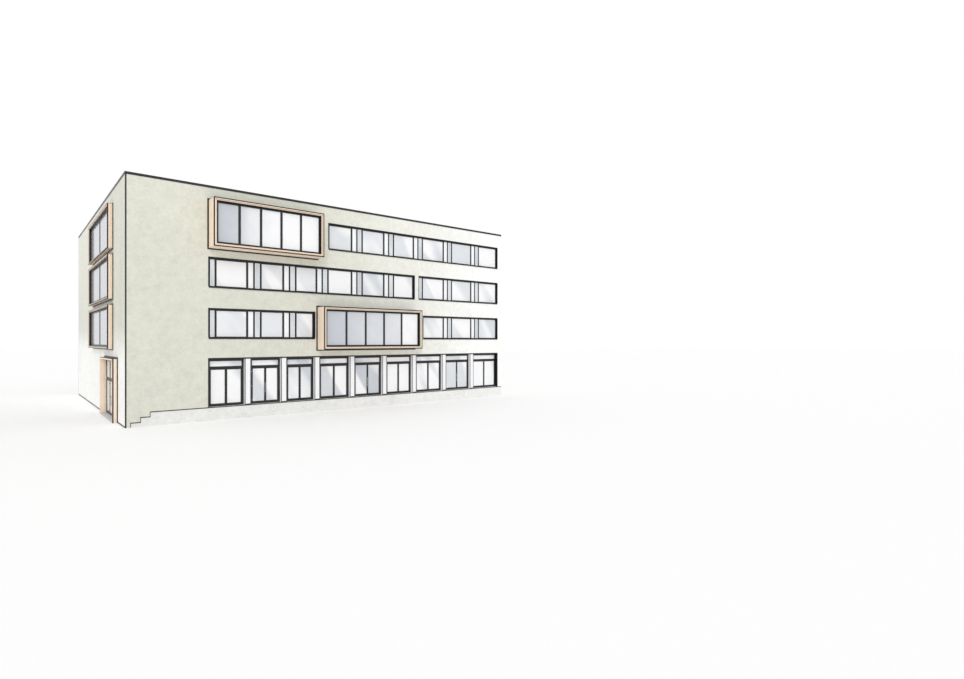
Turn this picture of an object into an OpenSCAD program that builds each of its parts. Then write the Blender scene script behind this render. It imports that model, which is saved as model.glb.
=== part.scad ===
// Four-storey school wing with plastered walls, ribbon windows and timber box windows.
// Frame: millimetres, +Z up, X along the yard front, Y from the yard front to the back.
// Origin: centre of the outer wall rectangle, on the lowest ground beside the gable.

/* [Massing] */
// Depth of the wing from the yard front to the back
wing_depth = 28000; // [24000:500:32000]
// Blank wall between the gable corner and the first window
corner_w = 4700; // [4500:100:6000]
// Length of the first room on the yard front
room_a = 7560; // [7200:30:9600]
// Length of the second room on the yard front
room_b = 8700; // [7200:30:9600]
// Length of the third room on the yard front
room_c = 9540; // [7200:30:9600]
// Wall between the last window and the party wall's outer face
end_pier = 500; // [500:50:1500]
// Height of the yard above the lowest ground
yard_rise = 900; // [750:50:1200]
// Floor to floor height of the storey on the yard
ground_storey = 3600; // [3550:50:4200]
// Floor to floor height of each upper storey
storey = 3400; // [3400:50:3800]
// Parapet above the roof slab, without its coping
parapet_h = 850; // [500:50:1100]

/* [Shell] */
// Thickness of the insulated outer walls
wall_t = 450; // [360:10:500]
// Thickness of the party wall
party_t = 300; // [240:10:450]
// Thickness of every floor slab and of the roof slab
slab_t = 240; // [200:10:240]
// Thickness of the base slab, which is the floor of the low entrance hall
base_t = 100; // [80:10:200]
// Depth of insulation and gravel on the roof slab
gravel_t = 250; // [100:10:350]
// Height of the coping's top above the parapet
coping_t = 55; // [50:5:80]
// How far the coping's fascia stands in front of the plaster
coping_out = 25; // [15:5:60]
// How far the fascia hangs down over the plaster
coping_drop = 100; // [40:5:200]
// How far the coping's top falls towards the roof
coping_fall = 25; // [5:5:45]
// Gap between the coping's lengths where they meet
coping_gap = 8; // [4:1:12]

/* [Ribbon windows] */
// Height of the sills above the floor
sill_h = 950; // [900:10:1000]
// Height of the ribbon windows
ribbon_h = 2000; // [1600:50:2100]
// Width of a narrow ventilation panel, from mullion centre to mullion centre
vent_w = 450; // [350:10:550]
// Width of the wall between a ribbon's end and the timber box after it
box_gap = 200; // [150:10:300]
// Face width of window frames and mullions
frame_w = 120; // [80:5:140]
// Depth of window frames
frame_d = 90; // [70:5:120]
// Thickness of insulating glass
glass_t = 32; // [24:2:44]
// Thickness of a ventilation panel
panel_t = 44; // [30:2:60]
// Width of the edge round a ventilation panel's sunk face
vent_stile = 32; // [20:2:44]
// Depth of a ventilation panel's sunk face
vent_sunk = 8; // [3:1:12]
// Distance from the plaster face back to the window frames
reveal = 140; // [80:10:200]
// How far the metal sills stand in front of the plaster
sill_out = 40; // [25:5:60]
// Thickness of the metal sills
sill_t = 24; // [15:1:30]

/* [Timber boxes] */
// How far the yard front's boxes stand out from the plaster
box_out = 1200; // [600:50:1500]
// Width of a front box's timber rim, which is its casing's thickness
casing_t = 200; // [140:5:240]
// Height of a front box
box_h = 3200; // [2900:50:3200]
// Height of a front box's underside above the floor
box_low = 150; // [100:10:180]
// Distance from the box's rim back to its glass frame
box_reveal = 230; // [120:10:400]
// Number of panes in a front box
box_panes = 5; // [3:1:6]
// Part of a rim's width that is stepped back round the opening
rim_part = 0.45; // [0.3:0.05:0.6]
// Depth of that step
rim_d = 60; // [40:5:90]
// Thickness of the metal lining between the rim and the glass frame
lining_t = 25; // [10:1:40]
// How far the gable's boxes stand out from the plaster
gable_box_out = 350; // [250:10:600]
// Distance from the yard front to the gable's boxes
gable_box_at = 4900; // [3000:100:6500]
// Width of a gable box's rim, and of the portal's
gable_casing_t = 130; // [90:5:160]
// Width of the gable's boxes
gable_box_w = 11200; // [6000:100:12000]
// Height of the gable's boxes
gable_box_h = 3000; // [2600:50:3050]
// Height of a gable box's underside above the floor
gable_box_low = 250; // [150:10:300]
// Distance from a gable box's rim back to its glass frame
gable_box_reveal = 180; // [120:10:240]

/* [Yard glazing] */
// Height of the glazed openings above the yard
yard_head = 3170; // [2900:10:3200]
// Height of the transom's centre above the yard
transom_h = 2600; // [2400:10:2750]
// Width of the posts between the units
post_w = 420; // [300:10:500]
// Distance from the plaster face back to the posts
post_inset = 20; // [10:5:60]
// Width of the rebate along each front edge of a post
post_rebate_w = 50; // [30:5:80]
// Depth of the rebate along each front edge of a post
post_rebate_d = 25; // [10:5:40]
// Height of the sheet trim over the yard glazing
head_trim_h = 90; // [60:5:140]
// Width of the sheet trim at each end of the yard glazing
jamb_trim_w = 40; // [30:5:80]
// How far the sheet trim stands out from the plaster
trim_out = 12; // [6:1:20]
// Distance from the plaster face back to the yard frames
yard_reveal = 260; // [150:10:300]
// Height of the threshold under a door
threshold_h = 40; // [20:5:60]

/* [Doors] */
// Face width of a door leaf's stiles and top rail
stile_w = 55; // [45:5:80]
// Height of a door leaf's bottom rail
kick_h = 110; // [80:5:200]
// Thickness of a door leaf
leaf_t = 60; // [50:2:70]
// Gap between a leaf and its frame
hinge_gap = 6; // [5:1:8]
// Gap between a leaf's free edge and what it meets, and over and under the leaf
meet_gap = 12; // [11:1:14]
// Diameter of a hinge's barrel
hinge_d = 22; // [16:1:22]
// Length of each of a hinge's two knuckles
knuckle_h = 60; // [40:5:90]
// Distance from the leaf's face to the hinge's axis
hinge_out = 18; // [17:1:24]
// Length of a pull handle
pull_len = 700; // [400:50:1200]
// Height of a pull handle's centre above the foot of its leaf
pull_at = 1050; // [900:10:1200]
// Diameter of a pull handle's bar
pull_d = 30; // [24:1:40]
// Distance from the leaf's face to the centre of the handle's bar
pull_out = 65; // [50:1:80]

/* [Gable portal] */
// Distance from the yard front to the portal
portal_at = 2900; // [1500:100:4000]
// Width of the portal
portal_w = 6200; // [5000:100:7000]
// Height of the portal above the lowest ground
portal_h = 4150; // [3600:50:4200]
// How far the portal stands out from the plaster
portal_out = 300; // [200:10:500]
// Distance from the portal's front edge back to its door frame
portal_reveal = 380; // [200:10:450]
// Width of the pair of doors, frame to frame
doorway_w = 2240; // [1800:10:2600]
// Height of the door transom's centre above the low hall's floor
door_transom = 2500; // [2200:10:2700]

/* [Hidden] */
$fn = 32;
BAYS_PER_ROOM = 3;
BAYS = 9;
VENTS_PER_BAY = 2;
DOOR_UNITS = [1, 4, 7];
WINDOW_UNITS = [0, 2, 3, 5, 6, 8];
// How far a cutting shape runs past the face that it cuts
eps = 1;
// Free height between a hinge's knuckles
knuckle_gap = 6;
// Joint between two lengths of sheet trim
trim_gap = 2;
// Thickness of a hinge's flag at its edge
flag_t = 5;

rooms = [room_a, room_b, room_c];
wing_len = corner_w + room_a + room_b + room_c + end_pier;
x_gable = -wing_len / 2;
x_party = wing_len / 2;
y_front = -wing_depth / 2;
y_back = wing_depth / 2;
x_inner = x_gable + wall_t;
x_party_inner = x_party - party_t;
y_inner = y_front + wall_t;
roof_z = floor_z(4);
wall_top = roof_z + parapet_h;
coping_top = wall_top + coping_t;
coping_w = wall_t + 2 * coping_out;
hall_edge = x_gable + corner_w;
frame_y = y_front + reveal;
yard_frame_y = y_front + yard_reveal;
portal_frame_x = x_gable - portal_out + portal_reveal;
yard_head_z = yard_rise + yard_head;
transom_low = yard_rise + transom_h - frame_w / 2;
transom_top = yard_rise + transom_h + frame_w / 2;
door_transom_low = base_t + door_transom - frame_w / 2;
door_transom_top = base_t + door_transom + frame_w / 2;
doorway_y0 = y_front + portal_at + (portal_w - doorway_w) / 2;
doorway_y1 = doorway_y0 + doorway_w;
portal_y0 = y_front + portal_at;
portal_y1 = portal_y0 + portal_w;
gable_box_y0 = y_front + gable_box_at;
gable_box_y1 = gable_box_y0 + gable_box_w;
gable_box_size = [gable_box_w, gable_box_h];
glass_set_back = (frame_d - glass_t) / 2;
vent_set_back = (frame_d - panel_t) / 2;
yard_glass_y = yard_frame_y + glass_set_back;
// Joint in the top storey's wall, halfway between its timber box and its ribbon
third_joint = room_x(1) + vent_w;

// Each ribbon: storey, first bay, bay after the last, vent widths of wall before it,
// vents in its first bay, and whether it stops short of a timber box
FRONT_RIBBONS = [
    [1, 0, 3, 0, 1, true],
    [1, 6, 9, 2, 0, false],
    [2, 0, 6, 0, 1, false],
    [2, 6, 9, 1, 1, false],
    [3, 3, 9, 2, 0, false]
];
BACK_RIBBONS = [for (s = [0:3]) each [[s, 0, 6, 0, 1, false], [s, 6, 9, 1, 1, false]]];
// Each front box: storey, room
BOX_FIRST = [1, 1];
BOX_THIRD = [3, 0];
FRONT_BOXES = [BOX_FIRST, BOX_THIRD];
GABLE_PANES = 2;

// Height of a finished floor: 0 is the yard storey, 4 the roof slab's top
function floor_z(s) = yard_rise + (s == 0 ? 0 : ground_storey + (s - 1) * storey);

// Start of a room on the yard front
function room_x(r) = x_gable + corner_w + (r > 0 ? rooms[0] : 0) + (r > 1 ? rooms[1] : 0);

// Line between two bays, where 0 starts the first bay and BAYS ends the last; lines are
// set out to whole millimetres
function bay_x(i) =
    let (r = min(floor(i / BAYS_PER_ROOM), len(rooms) - 1))
    room_x(r) + round((i - r * BAYS_PER_ROOM) * rooms[r] / BAYS_PER_ROOM);

function ribbon_x0(r) = bay_x(r[1]) + r[3] * vent_w;
function ribbon_x1(r) = bay_x(r[2]) - (r[5] ? box_gap : 0);
function ribbon_z0(r) = floor_z(r[0]) + sill_h;
function ribbon_z1(r) = ribbon_z0(r) + ribbon_h;

// The fields of a ribbon between mullion centres, as [start, end, is it a vent]:
// each bay has its vents first, then one wide pane
function ribbon_fields(r) = [
    for (b = [r[1]:r[2] - 1])
        let (
            p = b == r[1] ? ribbon_x0(r) : bay_x(b),
            vents = b == r[1] ? r[4] : VENTS_PER_BAY,
            q = b == r[2] - 1 ? ribbon_x1(r) : bay_x(b + 1)
        )
        each [
            for (k = [0:1:vents - 1]) [p + k * vent_w, p + (k + 1) * vent_w, true],
            [p + vents * vent_w, q, false]
        ]
];

// Clear width of a field inside the frame, as [start, end]
function clear_field(r, f) = [
    f[0] + (f[0] <= ribbon_x0(r) + eps ? frame_w : frame_w / 2),
    f[1] - (f[1] >= ribbon_x1(r) - eps ? frame_w : frame_w / 2)
];

// Width and height of a field's clear part
function field_size(r, f) = [clear_field(r, f)[1] - clear_field(r, f)[0], ribbon_h - 2 * frame_w];

function box_x0(b) = room_x(b[1]);
function box_x1(b) = box_x0(b) + rooms[b[1]];
function box_size(b) = [rooms[b[1]], box_h];
function box_z0(b) = floor_z(b[0]) + box_low;
function box_z1(b) = box_z0(b) + box_h;
function gable_box_z0(s) = floor_z(s) + gable_box_low;
function gable_box_z1(s) = gable_box_z0(s) + gable_box_h;

// Start and end of a yard unit between its posts, and its middle
function unit_x0(i) = bay_x(i) + (i == 0 ? 0 : post_w / 2);
function unit_x1(i) = bay_x(i + 1) - (i == BAYS - 1 ? 0 : post_w / 2);
function unit_mid(i) = (unit_x0(i) + unit_x1(i)) / 2;

// A leaf's width in a yard unit, and where its hinge edge is
function leaf_x(i) = unit_x0(i) + frame_w + hinge_gap;
function leaf_w(i) = unit_mid(i) - meet_gap / 2 - leaf_x(i);
leaf_z = yard_rise + threshold_h + meet_gap;
leaf_h = transom_low - meet_gap - leaf_z;
entrance_leaf_w = (doorway_w - meet_gap) / 2 - hinge_gap;
entrance_leaf_z = base_t + threshold_h + meet_gap;
entrance_leaf_h = door_transom_low - meet_gap - entrance_leaf_z;

// A rectangle given by two corners
module rect(a, b) {
    translate(a) square(b - a);
}

// A block given by two corners
module block(a, b) {
    translate(a) cube(b - a);
}

// A drawing in X and Z, given thickness t from y towards the back
module front_plate(y, t) {
    translate([0, y + t, 0]) rotate([90, 0, 0]) linear_extrude(t) children();
}

// A drawing in Y and Z, given thickness t from x towards the party wall
module side_plate(x, t) {
    translate([x, 0, 0]) rotate([90, 0, 90]) linear_extrude(t) children();
}

// The same, on the back of the wing
module on_back() {
    mirror([0, 1, 0]) children();
}

// Floors and roof

module floor_slab(z) {
    block([x_inner, y_inner, z - slab_t], [x_party_inner, -y_inner, z]);
}

// Lowest floor, with a tongue that is the step in the portal
module base_slab() {
    color("silver") linear_extrude(base_t) {
        rect([x_inner, y_inner], [x_party_inner, -y_inner]);
        rect([x_gable - portal_out, portal_y0 + gable_casing_t], [x_inner + eps, portal_y1 - gable_casing_t]);
    }
}

module raised_floor() {
    color("silver") block([hall_edge, y_inner, base_t], [x_party_inner, -y_inner, yard_rise]);
}

module upper_floors() {
    color("silver") for (s = [1:3]) floor_slab(floor_z(s));
}

module roof_slab() {
    color("silver") floor_slab(roof_z);
}

module roof_gravel() {
    color("gray") block([x_inner, y_inner, roof_z], [x_party_inner, -y_inner, roof_z + gravel_t]);
}

// Section of the coping on an outer wall: the fascia is at X 0 and the roof is to the right
module coping_section() {
    polygon([
        [0, wall_top - coping_drop], [coping_out, wall_top - coping_drop], [coping_out, wall_top],
        [coping_w, wall_top], [coping_w, coping_top - coping_fall], [0, coping_top]
    ]);
}

// A length of coping along Y from 0, whose ends are cut to this plan
module coping_length(len, plan) {
    intersection() {
        translate([0, len, 0]) rotate([90, 0, 0]) linear_extrude(len) coping_section();
        linear_extrude(coping_top + eps) polygon(plan);
    }
}

// The length on the yard front, from the mitre at the gable to the party wall's face
module front_coping() {
    len = wing_len + coping_out;
    half = coping_gap / 2;
    translate([x_party, y_front - coping_out, 0]) rotate([0, 0, 90])
        coping_length(len, [
            [0, 0], [coping_w, 0], [coping_w, len - coping_w - half], [0, len - half]
        ]);
}

// The length on the gable, mitred at both ends
module gable_coping() {
    len = wing_depth + 2 * coping_out;
    half = coping_gap / 2;
    translate([x_gable - coping_out, y_front - coping_out, 0])
        coping_length(len, [
            [0, half], [coping_w, coping_w + half], [coping_w, len - coping_w - half], [0, len - half]
        ]);
}

// Flat cover of the party wall, between the two long lengths
module party_coping() {
    end = y_inner + coping_out + coping_gap;
    front_plate(end, -2 * end) polygon([
        [x_party_inner - coping_out, wall_top], [x_party, wall_top],
        [x_party, coping_top - coping_fall], [x_party_inner - coping_out, coping_top - coping_fall]
    ]);
}

module parapet_coping() {
    color("dimgray") {
        front_coping();
        on_back() front_coping();
        gable_coping();
        party_coping();
    }
}

// Walls

// Elevation of a storey of the yard front, or of part of it, without its openings
module storey_band(z0, z1, x0 = x_gable, x1 = x_party) {
    rect([x0, z0], [x1, z1]);
}

module ribbon_opening(r) {
    rect([ribbon_x0(r), ribbon_z0(r)], [ribbon_x1(r), ribbon_z1(r)]);
}

module box_opening(b) {
    rect([box_x0(b), box_z0(b)], [box_x1(b), box_z1(b)]);
}

// The wall under and beside the yard glazing
module front_wall_ground() {
    color("beige") front_plate(y_front, wall_t) difference() {
        storey_band(0, yard_head_z);
        rect([bay_x(0), yard_rise], [bay_x(BAYS), yard_head_z + eps]);
    }
}

module front_wall_upper(s, z0, z1, x0 = x_gable, x1 = x_party) {
    color("beige") front_plate(y_front, wall_t) difference() {
        storey_band(z0, z1, x0, x1);
        for (r = FRONT_RIBBONS) if (r[0] == s) ribbon_opening(r);
        for (b = FRONT_BOXES) if (b[0] == s) box_opening(b);
    }
}

module front_wall_first() {
    front_wall_upper(1, yard_head_z, floor_z(2));
}

module front_wall_second() {
    front_wall_upper(2, floor_z(2), floor_z(3));
}

module front_wall_third_near() {
    front_wall_upper(3, floor_z(3), wall_top, x1 = third_joint);
}

module front_wall_third_far() {
    front_wall_upper(3, floor_z(3), wall_top, x0 = third_joint);
}

// The walls on each side of the portal
module gable_wall_ground() {
    color("beige") side_plate(x_gable, wall_t) {
        rect([y_inner, 0], [portal_y0, portal_h]);
        rect([portal_y1, 0], [-y_inner, portal_h]);
    }
}

module gable_wall_upper() {
    color("beige") side_plate(x_gable, wall_t) difference() {
        rect([y_inner, portal_h], [-y_inner, wall_top]);
        for (s = [1:3]) rect([gable_box_y0, gable_box_z0(s)], [gable_box_y1, gable_box_z1(s)]);
    }
}

module back_wall_ground() {
    color("beige") on_back() front_plate(y_front, wall_t) difference() {
        storey_band(0, floor_z(1));
        for (r = BACK_RIBBONS) if (r[0] == 0) ribbon_opening(r);
    }
}

module back_wall_upper() {
    color("beige") on_back() front_plate(y_front, wall_t) difference() {
        storey_band(floor_z(1), wall_top);
        for (r = BACK_RIBBONS) if (r[0] > 0) ribbon_opening(r);
    }
}

module party_wall() {
    color("beige") side_plate(x_party_inner, party_t) rect([y_inner, 0], [-y_inner, wall_top]);
}

// Ribbon windows

// Sloping sheet from the frame to a drip in front of the plaster
module sill(r) {
    fall = sill_t / 2;
    drip_y = y_front - sill_out;
    z = ribbon_z0(r);
    translate([ribbon_x0(r), 0, 0]) rotate([90, 0, 90])
        linear_extrude(ribbon_x1(r) - ribbon_x0(r)) polygon([
            [frame_y, z], [frame_y, z + sill_t], [drip_y, z + sill_t - fall],
            [drip_y, z - sill_t], [drip_y + fall, z - sill_t], [drip_y + fall, z]
        ]);
}

module window_sills() {
    color("dimgray") {
        for (r = FRONT_RIBBONS) sill(r);
        on_back() for (r = BACK_RIBBONS) sill(r);
    }
}

module ribbon_frame(r) {
    front_plate(frame_y, frame_d) difference() {
        ribbon_opening(r);
        for (f = ribbon_fields(r)) {
            c = clear_field(r, f);
            rect([c[0], ribbon_z0(r) + frame_w], [c[1], ribbon_z1(r) - frame_w]);
        }
    }
}

// What fills a field is drawn from the field's lower corner, set back from the frame's face
module at_field(r, f, set_back) {
    translate([clear_field(r, f)[0], frame_y + set_back, ribbon_z0(r) + frame_w]) children();
}

// A ventilation panel: a plate whose front is sunk inside a raised edge
module vent_panel(size) {
    front_plate(0, vent_sunk) border(size, vent_stile);
    front_plate(vent_sunk, panel_t - vent_sunk) square(size);
}

module vent_panels(r) {
    for (f = ribbon_fields(r)) if (f[2])
        at_field(r, f, vent_set_back) vent_panel(field_size(r, f));
}

module ribbon_panes(r) {
    for (f = ribbon_fields(r)) if (!f[2])
        at_field(r, f, glass_set_back) front_plate(0, glass_t) square(field_size(r, f));
}

module ribbon_frames() {
    color("darkslategray") {
        for (r = FRONT_RIBBONS) ribbon_frame(r);
        on_back() for (r = BACK_RIBBONS) ribbon_frame(r);
    }
}

module ribbon_vents() {
    color("whitesmoke") {
        for (r = FRONT_RIBBONS) vent_panels(r);
        on_back() for (r = BACK_RIBBONS) vent_panels(r);
    }
}

module ribbon_glass() {
    color("lightsteelblue") {
        for (r = FRONT_RIBBONS) ribbon_panes(r);
        on_back() for (r = BACK_RIBBONS) ribbon_panes(r);
    }
}

// Timber boxes

// What is left of a rectangle of this size inside a border t wide
module inset(size, t) {
    rect([t, t], [size[0] - t, size[1] - t]);
}

// A border t wide just inside a rectangle of this size
module border(size, t) {
    difference() {
        square(size);
        inset(size, t);
    }
}

// A casing t thick and d deep round a rectangle, with a stepped rim at its front
module casing(size, t, d) {
    front_plate(0, rim_d) border(size, t * (1 - rim_part));
    front_plate(rim_d, d - rim_d) border(size, t);
}

module front_box(b) {
    color("burlywood") translate([box_x0(b), y_front - box_out, box_z0(b)])
        casing(box_size(b), casing_t, box_out + wall_t);
}

module box_first() {
    front_box(BOX_FIRST);
}

module box_third() {
    front_box(BOX_THIRD);
}

// Puts what is drawn from the left end of a casing's front on the gable, its left end at y
module on_gable(x, y, z) {
    translate([x, y, z]) rotate([0, 0, -90]) mirror([1, 0, 0]) children();
}

module gable_boxes() {
    color("burlywood") for (s = [1:3])
        on_gable(x_gable - gable_box_out, gable_box_y0, gable_box_z0(s))
            casing(gable_box_size, gable_casing_t, gable_box_out + wall_t);
}

// Elevation of n panes side by side in a box of this size with a casing t thick
module panes(size, n, t) {
    pitch = (size[0] - 2 * t - frame_w) / n;
    for (i = [0:n - 1])
        rect([t + frame_w + i * pitch, t + frame_w],
             [t + (i + 1) * pitch, size[1] - t - frame_w]);
}

// The frame round those panes, with a lining that runs forward from it to the rim
module pane_frame(size, n, t, set_back) {
    front_plate(0, frame_d) difference() {
        inset(size, t);
        panes(size, n, t);
    }
    front_plate(rim_d - set_back, set_back - rim_d) difference() {
        inset(size, t);
        inset(size, t + lining_t);
    }
}

module at_box_glass(b) {
    translate([box_x0(b), y_front - box_out + box_reveal, box_z0(b)]) children();
}

module at_gable_box_glass(s) {
    on_gable(x_gable - gable_box_out + gable_box_reveal, gable_box_y0, gable_box_z0(s)) children();
}

module box_frames() {
    color("darkslategray") for (b = FRONT_BOXES)
        at_box_glass(b) pane_frame(box_size(b), box_panes, casing_t, box_reveal);
}

module gable_box_frames() {
    color("darkslategray") for (s = [1:3])
        at_gable_box_glass(s) pane_frame(gable_box_size, GABLE_PANES, gable_casing_t, gable_box_reveal);
}

module box_glass() {
    color("lightsteelblue") {
        for (b = FRONT_BOXES)
            at_box_glass(b) front_plate(glass_set_back, glass_t) panes(box_size(b), box_panes, casing_t);
        for (s = [1:3])
            at_gable_box_glass(s) front_plate(glass_set_back, glass_t)
                panes(gable_box_size, GABLE_PANES, gable_casing_t);
    }
}

// Yard glazing

// Plan of a post: both front edges are rebated
module post_plan() {
    rect([-post_w / 2, post_inset + post_rebate_d], [post_w / 2, wall_t]);
    rect([post_rebate_w - post_w / 2, post_inset], [post_w / 2 - post_rebate_w, wall_t]);
}

module yard_posts() {
    color("whitesmoke") for (i = [1:BAYS - 1])
        translate([bay_x(i), y_front, yard_rise]) linear_extrude(yard_head) post_plan();
}

// Sheet trim on the plaster: a length over all units, and a length down each end
module yard_trim() {
    x0 = bay_x(0) - jamb_trim_w;
    x1 = bay_x(BAYS);
    front_plate(y_front - trim_out, trim_out) {
        rect([x0, yard_head_z], [x1 + jamb_trim_w, yard_head_z + head_trim_h]);
        for (x = [x0, x1])
            rect([x, yard_rise], [x + jamb_trim_w, yard_head_z - trim_gap]);
    }
}

// Glass of one half of a unit, whether it is fixed or in a leaf: -1 is the left half
module half_light(i, side) {
    edge = side < 0 ? leaf_x(i) : unit_x1(i) - frame_w - hinge_gap;
    inner = edge - side * stile_w;
    mid = unit_mid(i) + side * (meet_gap / 2 + stile_w);
    rect([min(inner, mid), leaf_z + kick_h], [max(inner, mid), leaf_z + leaf_h - stile_w]);
}

module over_light(i) {
    rect([unit_x0(i) + frame_w, transom_top], [unit_x1(i) - frame_w, yard_head_z - frame_w]);
}

module unit_outline(i) {
    rect([unit_x0(i), yard_rise], [unit_x1(i), yard_head_z]);
}

module yard_window_frames() {
    color("darkslategray") {
        for (i = WINDOW_UNITS)
            front_plate(yard_frame_y, frame_d) difference() {
                unit_outline(i);
                half_light(i, -1);
                half_light(i, 1);
                over_light(i);
            }
        yard_trim();
    }
}

module yard_door_frames() {
    color("darkslategray") for (i = DOOR_UNITS)
        front_plate(yard_frame_y, frame_d) difference() {
            unit_outline(i);
            rect([unit_x0(i) + frame_w, yard_rise + threshold_h],
                 [unit_mid(i) + meet_gap / 2, transom_low]);
            half_light(i, 1);
            over_light(i);
        }
}

module yard_window_glass() {
    color("lightsteelblue") front_plate(yard_glass_y, glass_t)
        for (i = WINDOW_UNITS) {
            half_light(i, -1);
            half_light(i, 1);
            over_light(i);
        }
}

module yard_door_glass() {
    color("lightsteelblue") front_plate(yard_glass_y, glass_t)
        for (i = DOOR_UNITS) {
            half_light(i, 1);
            over_light(i);
        }
}

// Door leaves, drawn from the hinge edge at X 0, with the outer face at Y 0

module leaf_pane(w, h, t) {
    translate([stile_w, (leaf_t - t) / 2, kick_h]) cube([w - 2 * stile_w, t, h - kick_h - stile_w]);
}

// A bar on two standoffs, on the outer face
module pull_handle() {
    translate([0, -pull_out, -pull_len / 2]) cylinder(d = pull_d, h = pull_len);
    for (z = [-pull_len / 3, pull_len / 3])
        translate([0, eps, z]) rotate([90, 0, 0]) cylinder(d = pull_d * 0.7, h = pull_out + eps);
}

// Heights of a leaf's hinges above its foot, at their middles
function hinge_heights(h) = [for (k = [0.1, 0.5, 0.9]) k * h];

// One half of a hinge: its knuckle, and the flag that sinks this far into the face at Y 0
module hinge_half(sink) {
    flag_w = stile_w / 2;
    linear_extrude(knuckle_h) {
        translate([0, -hinge_out]) circle(d = hinge_d);
        polygon([
            [hinge_gap, sink], [flag_w, sink], [flag_w, -flag_t],
            [hinge_d / 2, -hinge_out], [0, -hinge_out]
        ]);
    }
}

// A leaf carries the upper half of each of its hinges
module leaf(w, h) {
    difference() {
        cube([w, leaf_t, h]);
        leaf_pane(w, h, leaf_t + 2 * eps);
    }
    for (z = hinge_heights(h)) translate([0, 0, z + knuckle_gap / 2]) hinge_half(eps);
    translate([w - stile_w / 2, 0, pull_at]) pull_handle();
}

// The lower halves of a leaf's hinges, which its frame carries
module frame_hinges(h) {
    for (z = hinge_heights(h))
        translate([0, 0, z - knuckle_gap / 2 - knuckle_h]) mirror([1, 0, 0]) hinge_half(0);
}

module hinge_halves() {
    color("silver") {
        for (i = DOOR_UNITS) at_yard_door(i) frame_hinges(leaf_h);
        at_near_leaf() frame_hinges(entrance_leaf_h);
        at_far_leaf() frame_hinges(entrance_leaf_h);
    }
}

module at_yard_door(i) {
    translate([leaf_x(i), yard_frame_y, leaf_z]) children();
}

module yard_leaf(k) {
    i = DOOR_UNITS[k];
    color("darkslategray") at_yard_door(i) leaf(leaf_w(i), leaf_h);
}

module yard_leaf_glass(k) {
    i = DOOR_UNITS[k];
    color("lightsteelblue") at_yard_door(i) leaf_pane(leaf_w(i), leaf_h, glass_t);
}

module yard_leaf_a() {
    yard_leaf(0);
}

module yard_leaf_b() {
    yard_leaf(1);
}

module yard_leaf_c() {
    yard_leaf(2);
}

module yard_leaf_glass_a() {
    yard_leaf_glass(0);
}

module yard_leaf_glass_b() {
    yard_leaf_glass(1);
}

module yard_leaf_glass_c() {
    yard_leaf_glass(2);
}

// Gable portal

// Timber casing on three sides, standing on the ground
module portal() {
    color("burlywood") side_plate(x_gable - portal_out, portal_out + wall_t) difference() {
        rect([portal_y0, 0], [portal_y1, portal_h]);
        rect([portal_y0 + gable_casing_t, -eps], [portal_y1 - gable_casing_t, portal_h - gable_casing_t]);
    }
}

// The fixed lights beside and over the doors, as drawn in Y and Z
module portal_lights() {
    low = base_t + threshold_h + meet_gap + kick_h;
    side_top = door_transom_low - meet_gap - stile_w;
    head = portal_h - gable_casing_t - frame_w;
    near = portal_y0 + gable_casing_t + frame_w;
    far = portal_y1 - gable_casing_t - frame_w;
    for (y = [[near, doorway_y0 - frame_w], [doorway_y1 + frame_w, far]]) {
        rect([y[0], low], [y[1], side_top]);
        rect([y[0], door_transom_top], [y[1], head]);
    }
    rect([doorway_y0, door_transom_top], [doorway_y1, head]);
}

module portal_frame() {
    color("darkslategray") side_plate(portal_frame_x, frame_d) difference() {
        rect([portal_y0 + gable_casing_t, base_t], [portal_y1 - gable_casing_t, portal_h - gable_casing_t]);
        portal_lights();
        rect([doorway_y0, base_t + threshold_h], [doorway_y1, door_transom_low]);
    }
}

module portal_glass() {
    color("lightsteelblue") side_plate(portal_frame_x + glass_set_back, glass_t)
        portal_lights();
}

// The near leaf is hung on the side towards the yard front
module at_near_leaf() {
    on_gable(portal_frame_x, doorway_y0 + hinge_gap, entrance_leaf_z) children();
}

module at_far_leaf() {
    translate([portal_frame_x, doorway_y1 - hinge_gap, entrance_leaf_z]) rotate([0, 0, -90]) children();
}

module entrance_leaf_near() {
    color("darkslategray") at_near_leaf() leaf(entrance_leaf_w, entrance_leaf_h);
}

module entrance_glass_near() {
    color("lightsteelblue") at_near_leaf() leaf_pane(entrance_leaf_w, entrance_leaf_h, glass_t);
}

module entrance_leaf_far() {
    color("darkslategray") at_far_leaf() leaf(entrance_leaf_w, entrance_leaf_h);
}

module entrance_glass_far() {
    color("lightsteelblue") at_far_leaf() leaf_pane(entrance_leaf_w, entrance_leaf_h, glass_t);
}

base_slab();
raised_floor();
upper_floors();
roof_slab();
roof_gravel();
parapet_coping();
front_wall_ground();
front_wall_first();
front_wall_second();
front_wall_third_near();
front_wall_third_far();
gable_wall_ground();
gable_wall_upper();
back_wall_ground();
back_wall_upper();
party_wall();
window_sills();
ribbon_frames();
ribbon_vents();
ribbon_glass();
box_first();
box_third();
gable_boxes();
box_frames();
gable_box_frames();
box_glass();
yard_posts();
yard_window_frames();
yard_door_frames();
yard_window_glass();
yard_door_glass();
portal();
portal_frame();
portal_glass();
hinge_halves();
entrance_leaf_near();
entrance_glass_near();
entrance_leaf_far();
entrance_glass_far();
yard_leaf_a();
yard_leaf_glass_a();
yard_leaf_b();
yard_leaf_glass_b();
yard_leaf_c();
yard_leaf_glass_c();
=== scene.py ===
"""Looks of a four-storey school wing.

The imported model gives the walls, floors, frames, glass and doors. This script gives each of them its
finish, and adds the timber boarding, glazing beads, sill ends, sheet metal seams and door fittings.
All sizes are in metres.
"""

import logging
import math
from dataclasses import dataclass, field
from enum import Enum
from random import Random
from typing import Iterable, Optional, Sequence, Union

import bpy
from mathutils import Matrix, Vector

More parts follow.
